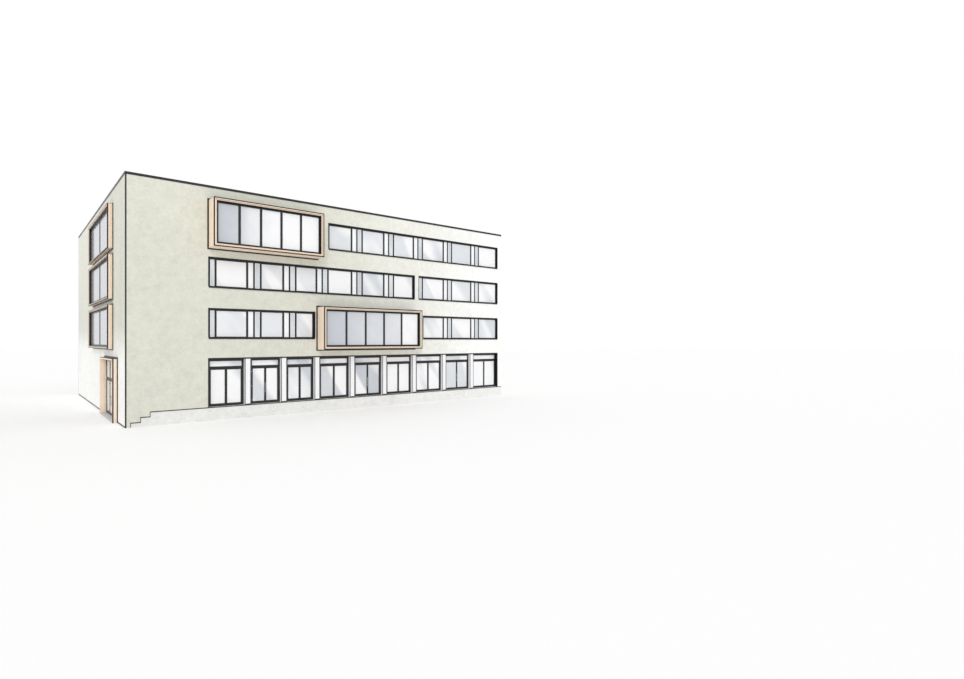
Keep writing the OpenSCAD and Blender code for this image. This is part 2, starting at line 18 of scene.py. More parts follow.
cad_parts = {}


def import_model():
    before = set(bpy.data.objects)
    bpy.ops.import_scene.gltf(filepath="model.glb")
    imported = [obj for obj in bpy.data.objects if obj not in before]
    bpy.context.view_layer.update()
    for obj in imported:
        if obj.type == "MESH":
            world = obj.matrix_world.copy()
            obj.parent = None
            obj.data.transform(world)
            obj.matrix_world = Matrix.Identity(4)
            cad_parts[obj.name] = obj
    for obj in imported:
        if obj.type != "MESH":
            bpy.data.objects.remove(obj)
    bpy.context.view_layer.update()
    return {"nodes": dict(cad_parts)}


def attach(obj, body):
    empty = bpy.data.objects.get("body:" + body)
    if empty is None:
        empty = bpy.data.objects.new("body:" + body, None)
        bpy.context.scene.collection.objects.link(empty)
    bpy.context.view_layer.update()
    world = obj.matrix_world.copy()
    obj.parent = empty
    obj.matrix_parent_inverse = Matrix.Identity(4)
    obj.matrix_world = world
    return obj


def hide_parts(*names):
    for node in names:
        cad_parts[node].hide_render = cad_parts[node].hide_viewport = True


log = logging.getLogger("school_wing")

Colour = tuple[float, float, float]
Point = tuple[float, float, float]
Section = tuple[tuple[float, float], ...]
Stops = tuple[tuple[float, float], ...]
Number = Union[int, float, "Value"]
Parts = list[bpy.types.Object]

IMAGE_W = 964
IMAGE_H = 679

BUILDING = "building"
BOARD_TONE = "board_tone"
WHITE = (1.0, 1.0, 1.0, 1.0)

# How far sheet metal stands off the plaster
SEAT = 0.0005

# Sockets of a Mix node that mixes colours
MIX_FACTOR, MIX_FIRST, MIX_SECOND, MIX_RESULT = 0, 6, 7, 2


def linear(colour: Colour) -> tuple[float, float, float, float]:
    """Turns a colour as it is seen on a screen into scene values.

    Args:
        colour: red, green and blue from 0 to 1, as shown on a screen.

    Returns:
        The same colour in linear values, with an alpha of 1.
    """

    def one(c: float) -> float:
        """Converts one channel."""
        return c / 12.92 if c <= 0.04045 else ((c + 0.055) / 1.055) ** 2.4

    return one(colour[0]), one(colour[1]), one(colour[2]), 1.0


# Shader maths


class Value:
    """A number that varies over a surface; Python's operators on it add Math nodes."""

    def __init__(self, board: "NodeBoard", socket: bpy.types.NodeSocket) -> None:
        """Keeps the board that the nodes go on, and the socket that gives the number."""
        self.board = board
        self.socket = socket

    def maths(self, operation: str, *others: Number, clamp: bool = False) -> "Value":
        """Adds one Math node whose first input is this number.

        Args:
            operation: the node's operation.
            others: its other inputs.
            clamp: whether the result is held between 0 and 1.

        Returns:
            The node's result.
        """
        return self.board.maths(operation, self, *others, clamp=clamp)

    def __add__(self, other: Number) -> "Value":
        """Adds a number."""
        return self.maths("ADD", other)

    __radd__ = __add__

    def __mul__(self, other: Number) -> "Value":
        """Multiplies by a number."""
        return self.maths("MULTIPLY", other)

    __rmul__ = __mul__

    def __sub__(self, other: Number) -> "Value":
        """Takes a number away."""
        return self.maths("SUBTRACT", other)

    def __rsub__(self, other: Number) -> "Value":
        """Takes this from a number."""
        return self.board.maths("SUBTRACT", other, self)

    def __truediv__(self, other: Number) -> "Value":
        """Divides by a number."""
        return self.maths("DIVIDE", other)

    def __pow__(self, other: Number) -> "Value":
        """Raises to a power."""
        return self.maths("POWER", other)

    def above(self, edge: Number) -> "Value":
        """Gives 1 where this is over an edge, else 0."""
        return self.maths("GREATER_THAN", edge)

    def held(self) -> "Value":
        """Holds the number between 0 and 1."""
        return self.maths("ADD", 0.0, clamp=True)


class NodeBoard:
    """A node tree, emptied for the nodes that are put on it."""

    def __init__(self, tree: bpy.types.NodeTree) -> None:
        """Takes a material's or the world's tree and clears it."""
        self.tree = tree
        self.tree.nodes.clear()

    def node(self, kind: str, settings: Optional[dict] = None, inputs: Optional[dict] = None) -> bpy.types.Node:
        """Adds any node.

        Args:
            kind: the node's type.
            settings: its properties, which are set first.
            inputs: a value, a link or a Value for each socket, by name or number.

        Returns:
            The new node.
        """
        made = self.tree.nodes.new(kind)
        for key, value in (settings or {}).items():
            if key == "stops":
                self.set_stops(made, value)
            else:
                setattr(made, key, value)
        for key, value in (inputs or {}).items():
            self.plug(made.inputs[key], value)
        return made

    def plug(self, socket: bpy.types.NodeSocket, value: object) -> None:
        """Sets a socket, or links something to it.

        Args:
            socket: the input.
            value: a number, a colour, a socket or a Value.
        """
        if isinstance(value, Value):
            value = value.socket
        if isinstance(value, bpy.types.NodeSocket):
            self.tree.links.new(value, socket)
        else:
            socket.default_value = value

    @staticmethod
    def set_stops(ramp: bpy.types.Node, stops: Stops) -> None:
        """Gives a colour ramp grey stops.

        Args:
            ramp: the Color Ramp node.
            stops: a place and a grey for each stop, in order.
        """
        elements = ramp.color_ramp.elements
        while len(elements) < len(stops):
            elements.new(1.0)
        for element, (place, grey) in zip(elements, stops):
            element.position = place
            element.color = (grey, grey, grey, 1.0)

    def maths(self, operation: str, *values: Number, clamp: bool = False) -> Value:
        """Adds one Math node.

        Args:
            operation: the node's operation.
            values: its inputs in order.
            clamp: whether the result is held between 0 and 1.

        Returns:
            The node's result.
        """
        settings = {"operation": operation, "use_clamp": clamp}
        return Value(self, self.node("ShaderNodeMath", settings, dict(enumerate(values))).outputs[0])


class MaterialBoard(NodeBoard):
    """The nodes of one material, with its Principled shader and its Object coordinates."""

    def __init__(self, name: str) -> None:
        """Starts a material of this name with an empty board.

        Args:
            name: the material's name.
        """
        self.material = bpy.data.materials.new(name)
        self.material.use_nodes = True
        super().__init__(self.material.node_tree)
        output = self.node("ShaderNodeOutputMaterial")
        self.shader = self.node("ShaderNodeBsdfPrincipled")
        self.plug(output.inputs["Surface"], self.shader.outputs["BSDF"])
        self.place = self.node("ShaderNodeTexCoord").outputs["Object"]

    def along(self) -> tuple[Value, Value, Value]:
        """Gives the three object coordinates as numbers."""
        split = self.node("ShaderNodeSeparateXYZ", inputs={0: self.place})
        return Value(self, split.outputs[0]), Value(self, split.outputs[1]), Value(self, split.outputs[2])

    def point(self, x: Number, y: Number, z: Number) -> bpy.types.NodeSocket:
        """Makes a point of three numbers."""
        return self.node("ShaderNodeCombineXYZ", inputs={0: x, 1: y, 2: z}).outputs[0]

    def shade(self, red: Value, green: Value, blue: Value) -> bpy.types.NodeSocket:
        """Makes a colour of three numbers."""
        return self.node("ShaderNodeCombineColor", inputs={0: red, 1: green, 2: blue}).outputs[0]

    def stretched(self, scale: Point, at: Optional[bpy.types.NodeSocket] = None) -> bpy.types.NodeSocket:
        """Gives coordinates scaled along each axis; they are the plain ones if no others are named."""
        return self.node("ShaderNodeMapping", inputs={"Vector": at or self.place, "Scale": scale}).outputs[0]

    def noise(
        self, scale: float, detail: float = 2.0, rough: float = 0.5, at: Optional[bpy.types.NodeSocket] = None
    ) -> Value:
        """Adds a noise whose middle is 0.

        Args:
            scale: features to the metre, roughly.
            detail: octaves.
            rough: how strong the finer octaves are.
            at: the coordinates that it reads, if not the plain ones.

        Returns:
            The noise, from about -0.5 to 0.5.
        """
        inputs = {"Vector": at or self.place, "Scale": scale, "Detail": detail, "Roughness": rough}
        return Value(self, self.node("ShaderNodeTexNoise", inputs=inputs).outputs["Fac"]) - 0.5

    def ramp(self, place: Value, stops: Stops) -> Value:
        """Reads a number off a row of grey stops.

        Args:
            place: where on the row, from 0 to 1.
            stops: a place and a grey for each stop, in order.

        Returns:
            The grey.
        """
        return Value(self, self.node("ShaderNodeValToRGB", {"stops": stops}, {0: place}).outputs[0])

    def blend(self, factor: Number, first: object, second: object, mode: str = "MIX") -> bpy.types.NodeSocket:
        """Mixes two colours.

        Args:
            factor: how much of the second there is.
            first: a colour or a socket.
            second: a colour or a socket.
            mode: how they are mixed.

        Returns:
            The mixed colour.
        """
        made = self.node(
            "ShaderNodeMix",
            {"data_type": "RGBA", "blend_type": mode, "clamp_factor": True},
            {MIX_FACTOR: factor, MIX_FIRST: first, MIX_SECOND: second},
        )
        return made.outputs[MIX_RESULT]

    def toned(self, colour: Colour, change: Value) -> bpy.types.NodeSocket:
        """Makes a colour lighter or darker by a share that varies.

        Args:
            colour: as seen on a screen.
            change: 0 for no change; 0.1 makes it a tenth lighter.

        Returns:
            The varied colour.
        """
        share = change + 1.0
        return self.blend(1.0, linear(colour), self.shade(share, share, share), "MULTIPLY")

    def bump(self, height: Value, strength: float, depth: float) -> None:
        """Gives the shader small relief.

        Args:
            height: the relief.
            strength: how strongly it shows.
            depth: the relief's depth in metres.
        """
        made = self.node("ShaderNodeBump", inputs={"Strength": strength, "Distance": depth, "Height": height})
        self.plug(self.shader.inputs["Normal"], made.outputs[0])

    def finish(self, **sockets: object) -> bpy.types.Material:
        """Sets the shader's sockets.

        Args:
            sockets: a value for each socket, by its name with underscores.

        Returns:
            The material.
        """
        for name, value in sockets.items():
            self.plug(self.shader.inputs[name.replace("_", " ")], value)
        return self.material


# The wing


class Side(Enum):
    """A side of the wing; its pieces are drawn with X along the wall, Y into it from the plaster, Z up."""

    FRONT = "front"
    BACK = "back"
    GABLE = "gable"


@dataclass(frozen=True)
class Wing:
    """Main sizes of the wing, as its source gives them.

    The foot of the plaster drops by a rise at each of the foot's edges on the yard front.
    """

    west: float = -15.5
    east: float = 15.5
    south: float = -14.0
    north: float = 14.0
    yard: float = 0.9
    ground_storey: float = 3.6
    storey: float = 3.4
    corner: float = 4.7
    rooms: tuple[float, float, float] = (7.56, 8.7, 9.54)
    bays_per_room: int = 3
    foot_edges: tuple[float, float, float] = (-15.2, -14.68, -14.16)
    foot_rise: float = 0.3
    wall: float = 0.45
    top: float = 15.55
    coping_drop: float = 0.1
    sill: float = 0.95
    ribbon: float = 2.0
    vent: float = 0.45
    box_gap: float = 0.2
    frame: float = 0.12
    frame_depth: float = 0.09
    glass: float = 0.032
    reveal: float = 0.14
    box_h: float = 3.2
    box_out: float = 1.2
    box_glass_out: float = 0.97
    box_lift: float = 0.15
    box_thick: float = 0.2
    gable_box_at: float = 4.9
    gable_box_w: float = 11.2
    gable_box_h: float = 3.0
    gable_box_out: float = 0.35
    gable_glass_out: float = 0.17
    gable_box_lift: float = 0.25
    gable_thick: float = 0.13
    box_panes: int = 5
    gable_panes: int = 2
    box_strip: float = 0.075
    gable_strip: float = 0.045
    portal_at: float = 2.9
    portal_w: float = 6.2
    portal_h: float = 4.15
    portal_out: float = 0.3
    stile: float = 0.055
    kick: float = 0.11
    hinge_gap: float = 0.006
    meet_gap: float = 0.012
    threshold: float = 0.04

    @property
    def bays(self) -> int:
        """How many bays the yard front has."""
        return self.bays_per_room * len(self.rooms)

    @property
    def glass_back(self) -> float:
        """How far the glass is behind its frame's face."""
        return (self.frame_depth - self.glass) / 2

    @property
    def portal_start(self) -> float:
        """Where the portal starts, on the wing's Y."""
        return self.south + self.portal_at

    def floor(self, storey: int) -> float:
        """Gives the height of a floor; 0 is the yard storey."""
        return self.yard + (0.0 if storey == 0 else self.ground_storey + (storey - 1) * self.storey)

    def room(self, number: int) -> float:
        """Gives the start of a room on the yard front."""
        return self.west + self.corner + sum(self.rooms[:number])

    def bay(self, number: int) -> float:
        """Gives the line between two bays.

        Args:
            number: how many bays lie before the line.

        Returns:
            Its place along the front.
        """
        room = min(number // self.bays_per_room, len(self.rooms) - 1)
        before = number - self.bays_per_room * room
        return self.room(room) + before * self.rooms[room] / self.bays_per_room

    def place(self, side: Side, x: float = 0.0, y: float = 0.0, z: float = 0.0) -> Matrix:
        """Gives the matrix that puts a drawing's piece on a side of the wing.

        Args:
            side: the side.
            x: where the piece's origin is along the wall, on the wing's own axis.
            y: how far in from the plaster it is.
            z: its height.

        Returns:
            The matrix; those of the back and the gable mirror.
        """
        move = Matrix.Translation((x, y, z))
        if side is Side.FRONT:
            return Matrix.Translation((0, self.south, 0)) @ move
        if side is Side.BACK:
            return Matrix.Translation((0, self.north, 0)) @ Matrix.Diagonal((1, -1, 1, 1)) @ move
        swap = Matrix(((0, 1, 0, 0), (1, 0, 0, 0), (0, 0, 1, 0), (0, 0, 0, 1)))
        return Matrix.Translation((self.west, 0, 0)) @ swap @ move


# Finishes


class Grain(Enum):
    """The direction that a timber board's grain runs in, as a stretch along each axis."""

    ALONG_X = (0.06, 1.0, 1.0)
    ALONG_Y = (1.0, 0.06, 1.0)
    ALONG_Z = (1.0, 1.0, 0.06)


@dataclass(frozen=True)
class Plaster:
    """Mineral scraped plaster with a fine grain and cloudy tone, with painted light making it paler towards the
    party end.

    The gable is painted paler towards its far end, and painted almost white low down beside the portal. On the yard
    front the base is bare below the foot of the plaster, which drops in three rises at the gable corner.
    """

    wing: Wing
    name: str = "scraped_plaster"
    colour: Colour = (0.875, 0.875, 0.825)
    pale: Colour = (0.985, 0.985, 0.972)
    base: Colour = (0.93, 0.93, 0.92)
    skin: float = 0.05
    fade_start: float = -5.0
    fade_length: float = 17.5
    fade_curve: float = 1.4
    gable_fade: float = 18.0
    gable_share: float = 0.3
    wash_top: float = 6.3
    wash_depth: float = 2.4
    low_tone: float = 0.935
    tone_start: float = 7.5
    tone_length: float = 8.0
    mottle: float = 0.5
    grain: float = 0.08
    speck: float = 0.035

    def paleness(self, x: Value, y: Value, z: Value) -> tuple[Value, Value, Value]:
        """Gives how much paler painted light makes a point.

        Args:
            x: its place along the yard front.
            y: its place along the gable.
            z: its height.

        Returns:
            Shares of painted paleness, 0 to 1: fades along the front and the gable, and the wash beside the portal.
        """
        on_gable = 1 - x.above(self.wing.west + self.skin)
        front = ((x - self.fade_start) / self.fade_length).held() ** self.fade_curve
        gable = ((y - self.wing.south) / self.gable_fade).held() * self.gable_share * on_gable
        # Painted paleness low on the gable, beside the portal
        washed = ((self.wash_top - z) / self.wash_depth).held() * on_gable
        return front, gable, washed

    def bare(self, x: Value, y: Value, z: Value) -> Value:
        """Gives 1 on the yard front's base, which is below the foot of the plaster.

        Args:
            x: the place along the yard front.
            y: the place along the gable.
            z: the height.

        Returns:
            1 on the base, else 0.
        """
        on_front = 1 - y.above(self.wing.south + self.skin)
        first, second, third = (x.above(edge) for edge in self.wing.foot_edges)
        foot = (first + second + third) * self.wing.foot_rise
        return (1 - (z - foot).above(0.0)) * on_front

    def build(self) -> bpy.types.Material:
        """Makes the material: painted light pales it along the front, painted shade deepens it low down, and its
        base is bare.

        Returns:
            The material.
        """
        board = MaterialBoard(self.name)
        x, y, z = board.along()
        clouds = board.noise(0.22, 3.0, 0.55) * 0.12 + board.noise(1.4, 4.0, 0.65) * 0.13
        grain = board.noise(45.0, 3.0, 0.65)
        mottle = board.noise(2.6, 6.0, 0.85) * self.mottle
        specks = board.noise(5.5, 1.0, 0.3).above(0.2) * self.speck
        front, gable, washed = self.paleness(x, y, z)
        wall = board.blend((front + gable + washed).held(), linear(self.colour), linear(self.pale))
        wall = board.blend(self.bare(x, y, z), wall, linear(self.base))
        height = ((z - self.tone_start) / self.tone_length).held()
        # Painted light and shade: a little darker low down, paler along the front and low on the gable
        painted_light_tone = self.low_tone + (height + front + washed).held() * (1 - self.low_tone)
        tone = clouds + mottle + grain * self.grain - specks + painted_light_tone
        colour = board.blend(1.0, wall, board.shade(tone, tone, tone - clouds * 0.25), "MULTIPLY")
        board.bump(grain + board.noise(140.0, 2.0, 0.7) * 0.6, 0.35, 0.004)
        return board.finish(Base_Color=colour, Roughness=0.92 + clouds * 0.3, Specular_IOR_Level=0.25)


@dataclass(frozen=True)
class Timber:
    """Oiled softwood, with grain along one axis and each board a little different."""

    grain: Grain
    colour: Colour = (1.0, 0.945, 0.875)
    deep: Colour = (0.97, 0.86, 0.755)
    ring_count: float = 46.0
    ring_share: float = 0.16
    fibre_share: float = 0.2
    board_share: float = 0.5
    weather_share: float = 0.35

    @property
    def name(self) -> str:
        """The material's name."""
        return "oiled_timber_" + self.grain.name.lower()

    def build(self) -> bpy.types.Material:
        """Makes the material, with long fibres, growth rings and a tone that changes from board to board.

        Returns:
            The material.
        """
        board = MaterialBoard(self.name)
        own = Value(board, board.node("ShaderNodeAttribute", {"attribute_name": BOARD_TONE}).outputs["Fac"])
        shift = board.point(own * 3.1, own * 7.3, own * 5.7)
        moved = board.node("ShaderNodeVectorMath", {"operation": "ADD"}, {0: board.place, 1: shift}).outputs[0]
        lengthways = board.stretched(self.grain.value, moved)
        fibre = board.noise(120.0, 4.0, 0.6, lengthways)
        warp = board.noise(3.0, 2.0, 0.5, lengthways)
        growth = (board.noise(6.0, 2.0, 0.4, lengthways) + warp * 0.5) * self.ring_count
        rings = growth.maths("SINE") * 0.5 + 0.5
        weather = board.noise(0.8, 3.0, 0.6)
        dark = rings * self.ring_share + (fibre + 0.5) * self.fibre_share
        dark = dark + own * self.board_share + weather * self.weather_share
        colour = board.blend(dark.held(), linear(self.colour), linear(self.deep))
        board.bump(fibre + rings * 0.3, 0.25, 0.002)
        return board.finish(Base_Color=colour, Roughness=0.55 + fibre * 0.3 + rings * 0.08, Specular_IOR_Level=0.4)


@dataclass(frozen=True)
class CoatedMetal:
    """Sheet or section metal with a baked coat, faintly uneven and dusty."""

    name: str
    colour: Colour
    rough: float = 0.42
    dust: float = 0.05

    def build(self) -> bpy.types.Material:
        """Makes the material, with fine orange peel in the coat and a veil of dust.

        Returns:
            The material.
        """
        board = MaterialBoard(self.name)
        peel = board.noise(260.0, 2.0, 0.5)
        veil = board.noise(2.3, 3.0, 0.6)
        colour = board.toned(self.colour, veil * self.dust * 4 + peel * 0.05)
        board.bump(peel, 0.12, 0.0006)
        return board.finish(Base_Color=colour, Roughness=self.rough + veil * 0.25)


@dataclass(frozen=True)
class Pane:
    """Insulating glass with a pale sky's reflections painted into its colour: each bay has its own tone, with
    slanting painted reflections.
    """

    wing: Wing
    name: str
    shade: Colour = (0.80, 0.83, 0.865)
    light: Colour = (0.99, 0.99, 0.995)
    balance: float = 0.62
    own_share: float = 0.35
    patch_share: float = 0.65
    alpha: float = 0.88

    def bay(self, board: MaterialBoard, x: Value) -> Value:
        """Gives the number of the bay that a point is in.

        Args:
            board: the material's nodes.
            x: the place along the front.

        Returns:
            The bay's whole number, from 0 at the gable end.
        """
        w, per = self.wing, self.wing.bays_per_room
        second, third = x.above(w.room(1)), x.above(w.room(2))
        a, b, c = ((x - w.room(number)) / (width / per) for number, width in enumerate(w.rooms))
        return board.maths("FLOOR", (1 - second) * a + second * (1 - third) * (b + per) + third * (c + 2 * per))

    @staticmethod
    def slanting(board: MaterialBoard, x: Value, across: Value, z: Value) -> bpy.types.NodeSocket:
        """Gives coordinates in which a pattern leans over, as a reflection in glass does."""
        return board.point(x * 0.8 + z * 0.5, across, z * 0.2)

    def lightness(self, board: MaterialBoard) -> Value:
        """Gives how much of the light tone there is.

        Args:
            board: the material's nodes.

        Returns:
            A share, mostly from 0 to 1.
        """
        x, y, z = board.along()
        level = ((z - self.wing.yard) / self.wing.storey).maths("FLOOR")
        number = board.point(self.bay(board, x), y.above(0.0), level)
        own = Value(board, board.node("ShaderNodeTexWhiteNoise", inputs={0: number}).outputs["Value"])
        slant = self.slanting(board, x, y * 0.5 + own * 9, z)
        patches = (board.noise(0.55, 1.2, 0.45, slant) * 9.0 + 0.5).held()
        return self.balance + (own - 0.5) * self.own_share + (patches - 0.5) * self.patch_share

    def build(self) -> bpy.types.Material:
        """Makes the material, with a faint waviness in the sheet.

        Returns:
            The material.
        """
        board = MaterialBoard(self.name)
        mixed = (self.lightness(board) + board.noise(1.1, 2.0, 0.5) * 0.2).held()
        # Painted reflections: the colour and the alpha mix the shade and light tones
        colour = board.blend(mixed, linear(self.shade), linear(self.light))
        board.bump(board.noise(1.4, 1.0, 0.3), 0.05, 0.01)
        return board.finish(
            Base_Color=colour,
            Roughness=0.07 + mixed * 0.04,
            Alpha=self.alpha + mixed * 0.08,
            IOR=1.5,
            Specular_IOR_Level=0.6,
        )


@dataclass(frozen=True)
class BoxPane(Pane):
    """Glass of the timber boxes, with painted reflections: grey at the gable end of each box and lighter towards its
    other end.
    """

    between: float = 10.0
    top_stops: Stops = ((0.0, 0.05), (0.2, 0.25), (0.3, 0.7), (0.5, 0.95), (1.0, 1.0))
    low_stops: Stops = ((0.0, 0.0), (0.3, 0.2), (0.5, 0.36), (0.78, 0.55), (0.82, 0.95), (1.0, 1.0))

    def across(self, x: Value, room: int) -> Value:
        """Gives how far along a room's box a point is.

        Args:
            x: the place along the front.
            room: the room's number.

        Returns:
            A share from 0 to 1.
        """
        start = self.wing.room(room) + self.wing.box_thick
        length = self.wing.rooms[room] - 2 * self.wing.box_thick
        return ((x - start) / length).held()

    def lightness(self, board: MaterialBoard) -> Value:
        """Gives how much of the light tone there is.

        Args:
            board: the material's nodes.

        Returns:
            A share, mostly from 0 to 1.
        """
        x, y, z = board.along()
        top = z.above(self.between)
        upper = board.ramp(self.across(x, 0), self.top_stops)
        lower = board.ramp(self.across(x, 1), self.low_stops)
        cloud = board.noise(0.7, 2.0, 0.5, self.slanting(board, x, y * 0.5, z))
        return upper * top + lower * (1 - top) + cloud * 0.3


@dataclass(frozen=True)
class Concrete:
    """Smooth cast concrete and screed."""

    name: str = "cast_concrete"
    colour: Colour = (0.80, 0.795, 0.775)

    def build(self) -> bpy.types.Material:
        """Makes the material, with clouds, pores and faint formwork tone.

        Returns:
            The material.
        """
        board = MaterialBoard(self.name)
        clouds = board.noise(0.7, 4.0, 0.6)
        pores = board.noise(60.0, 3.0, 0.7)
        colour = board.toned(self.colour, clouds * 0.18 + pores * 0.06)
        board.bump(pores, 0.2, 0.003)
        return board.finish(Base_Color=colour, Roughness=0.75 + clouds * 0.2)


@dataclass(frozen=True)
class Gravel:
    """Washed gravel, as a cell pattern with a shade for each pebble."""

    name: str = "washed_gravel"
    colour: Colour = (0.66, 0.65, 0.61)
    pebble: float = 0.032

    def build(self) -> bpy.types.Material:
        """Makes the material: pebbles in grey and ochre tones, painted darker towards their edges as shade between
        them.

        Returns:
            The material.
        """
        board = MaterialBoard(self.name)
        cells = board.node("ShaderNodeTexVoronoi", inputs={"Vector": board.place, "Scale": 1 / self.pebble})
        depth = Value(board, cells.outputs["Distance"])
        split = board.node("ShaderNodeSeparateColor", inputs={0: cells.outputs["Color"]})
        own = Value(board, split.outputs[0])
        # Each pebble's own tone, painted darker towards its edge as shade between pebbles, with clouds
        tone = (own - 0.5) * 0.5 - depth * 0.45 + board.noise(0.5, 3.0, 0.6) * 0.25 + 0.1
        board.bump(1 - depth, 0.8, 0.02)
        return board.finish(Base_Color=board.toned(self.colour, tone), Roughness=0.85 + own * 0.1)


@dataclass(frozen=True)
class Steel:
    """Brushed stainless steel."""

    name: str = "brushed_steel"
    colour: Colour = (0.78, 0.785, 0.79)

    def build(self) -> bpy.types.Material:
        """Makes the material, with brush lines along Z.

        Returns:
            The material.
        """
        board = MaterialBoard(self.name)
        lines = board.noise(900.0, 2.0, 0.6, board.stretched((1.0, 1.0, 0.02)))
        colour = board.toned(self.colour, lines * 0.1)
        board.bump(lines, 0.1, 0.0003)
        return board.finish(Base_Color=colour, Metallic=1.0, Roughness=0.3 + lines * 0.15)


@dataclass(frozen=True)
class Gasket:
    """Black sealing rubber."""

    name: str = "sealing_rubber"
    colour: Colour = (0.07, 0.072, 0.075)

    def build(self) -> bpy.types.Material:
        """Makes the material, dull with a little dust.

        Returns:
            The material.
        """
        board = MaterialBoard(self.name)
        dust = board.noise(30.0, 3.0, 0.6)
        return board.finish(Base_Color=board.toned(self.colour, dust * 0.4), Roughness=0.7 + dust * 0.15)


@dataclass(frozen=True)
class Floor:
    """The plain pale studio floor."""

    name: str = "studio_floor"
    colour: Colour = (0.985, 0.985, 0.985)
    lift: float = 0.03

    def build(self) -> bpy.types.Material:
        """Makes the material, lifted to plain white where the camera sees it unshaded.

        Returns:
            The material.
        """
        board = MaterialBoard(self.name)
        glow = Value(board, board.node("ShaderNodeLightPath").outputs["Is Camera Ray"]) * self.lift
        return board.finish(
            Base_Color=linear(self.colour),
            Roughness=0.9,
            Specular_IOR_Level=0.1,
            Emission_Color=board.shade(glow, glow, glow),
            Emission_Strength=1.0,
        )


class Finishes:
    """All finishes of the wing, each built once."""

    def __init__(self, wing: Wing) -> None:
        """Builds every material.

        Args:
            wing: the wing's sizes, which the plaster and the glass follow.
        """
        self.plaster = Plaster(wing).build()
        self.timber = {grain: Timber(grain).build() for grain in Grain}
        self.frame = CoatedMetal("dark_coated_frame", (0.075, 0.078, 0.085)).build()
        self.coping = CoatedMetal("dark_folded_sheet", (0.09, 0.092, 0.097), rough=0.4).build()
        self.vent = CoatedMetal("white_coated_panel", (0.975, 0.98, 0.985), rough=0.45, dust=0.012).build()
        self.post = CoatedMetal("pale_coated_post", (0.962, 0.964, 0.97), rough=0.5, dust=0.01).build()
        self.ribbon_glass = Pane(wing, "ribbon_glass", balance=0.86).build()
        self.box_glass = BoxPane(wing, "box_glass", shade=(0.785, 0.805, 0.835)).build()
        self.yard_glass = Pane(
            wing, "yard_glass", shade=(0.76, 0.785, 0.82), balance=0.84, own_share=0.45, patch_share=0.8
        ).build()
        self.vent_glass = Pane(wing, "vent_glass", shade=(0.83, 0.85, 0.875), light=(0.90, 0.915, 0.94)).build()
        self.concrete = Concrete().build()
        self.gravel = Gravel().build()
        self.steel = Steel().build()
        self.rubber = Gasket().build()
        self.floor = Floor().build()


# Hand tools


class Slot(Enum):
    """The record's material slots that the added pieces belong to."""

    TIMBER = "timber"
    FRAME = "window_frame"
    COPING = "coping"
    VENT = "vent_panel"
    GLASS = "glass"
    POST = "post"
    METAL = "metal"


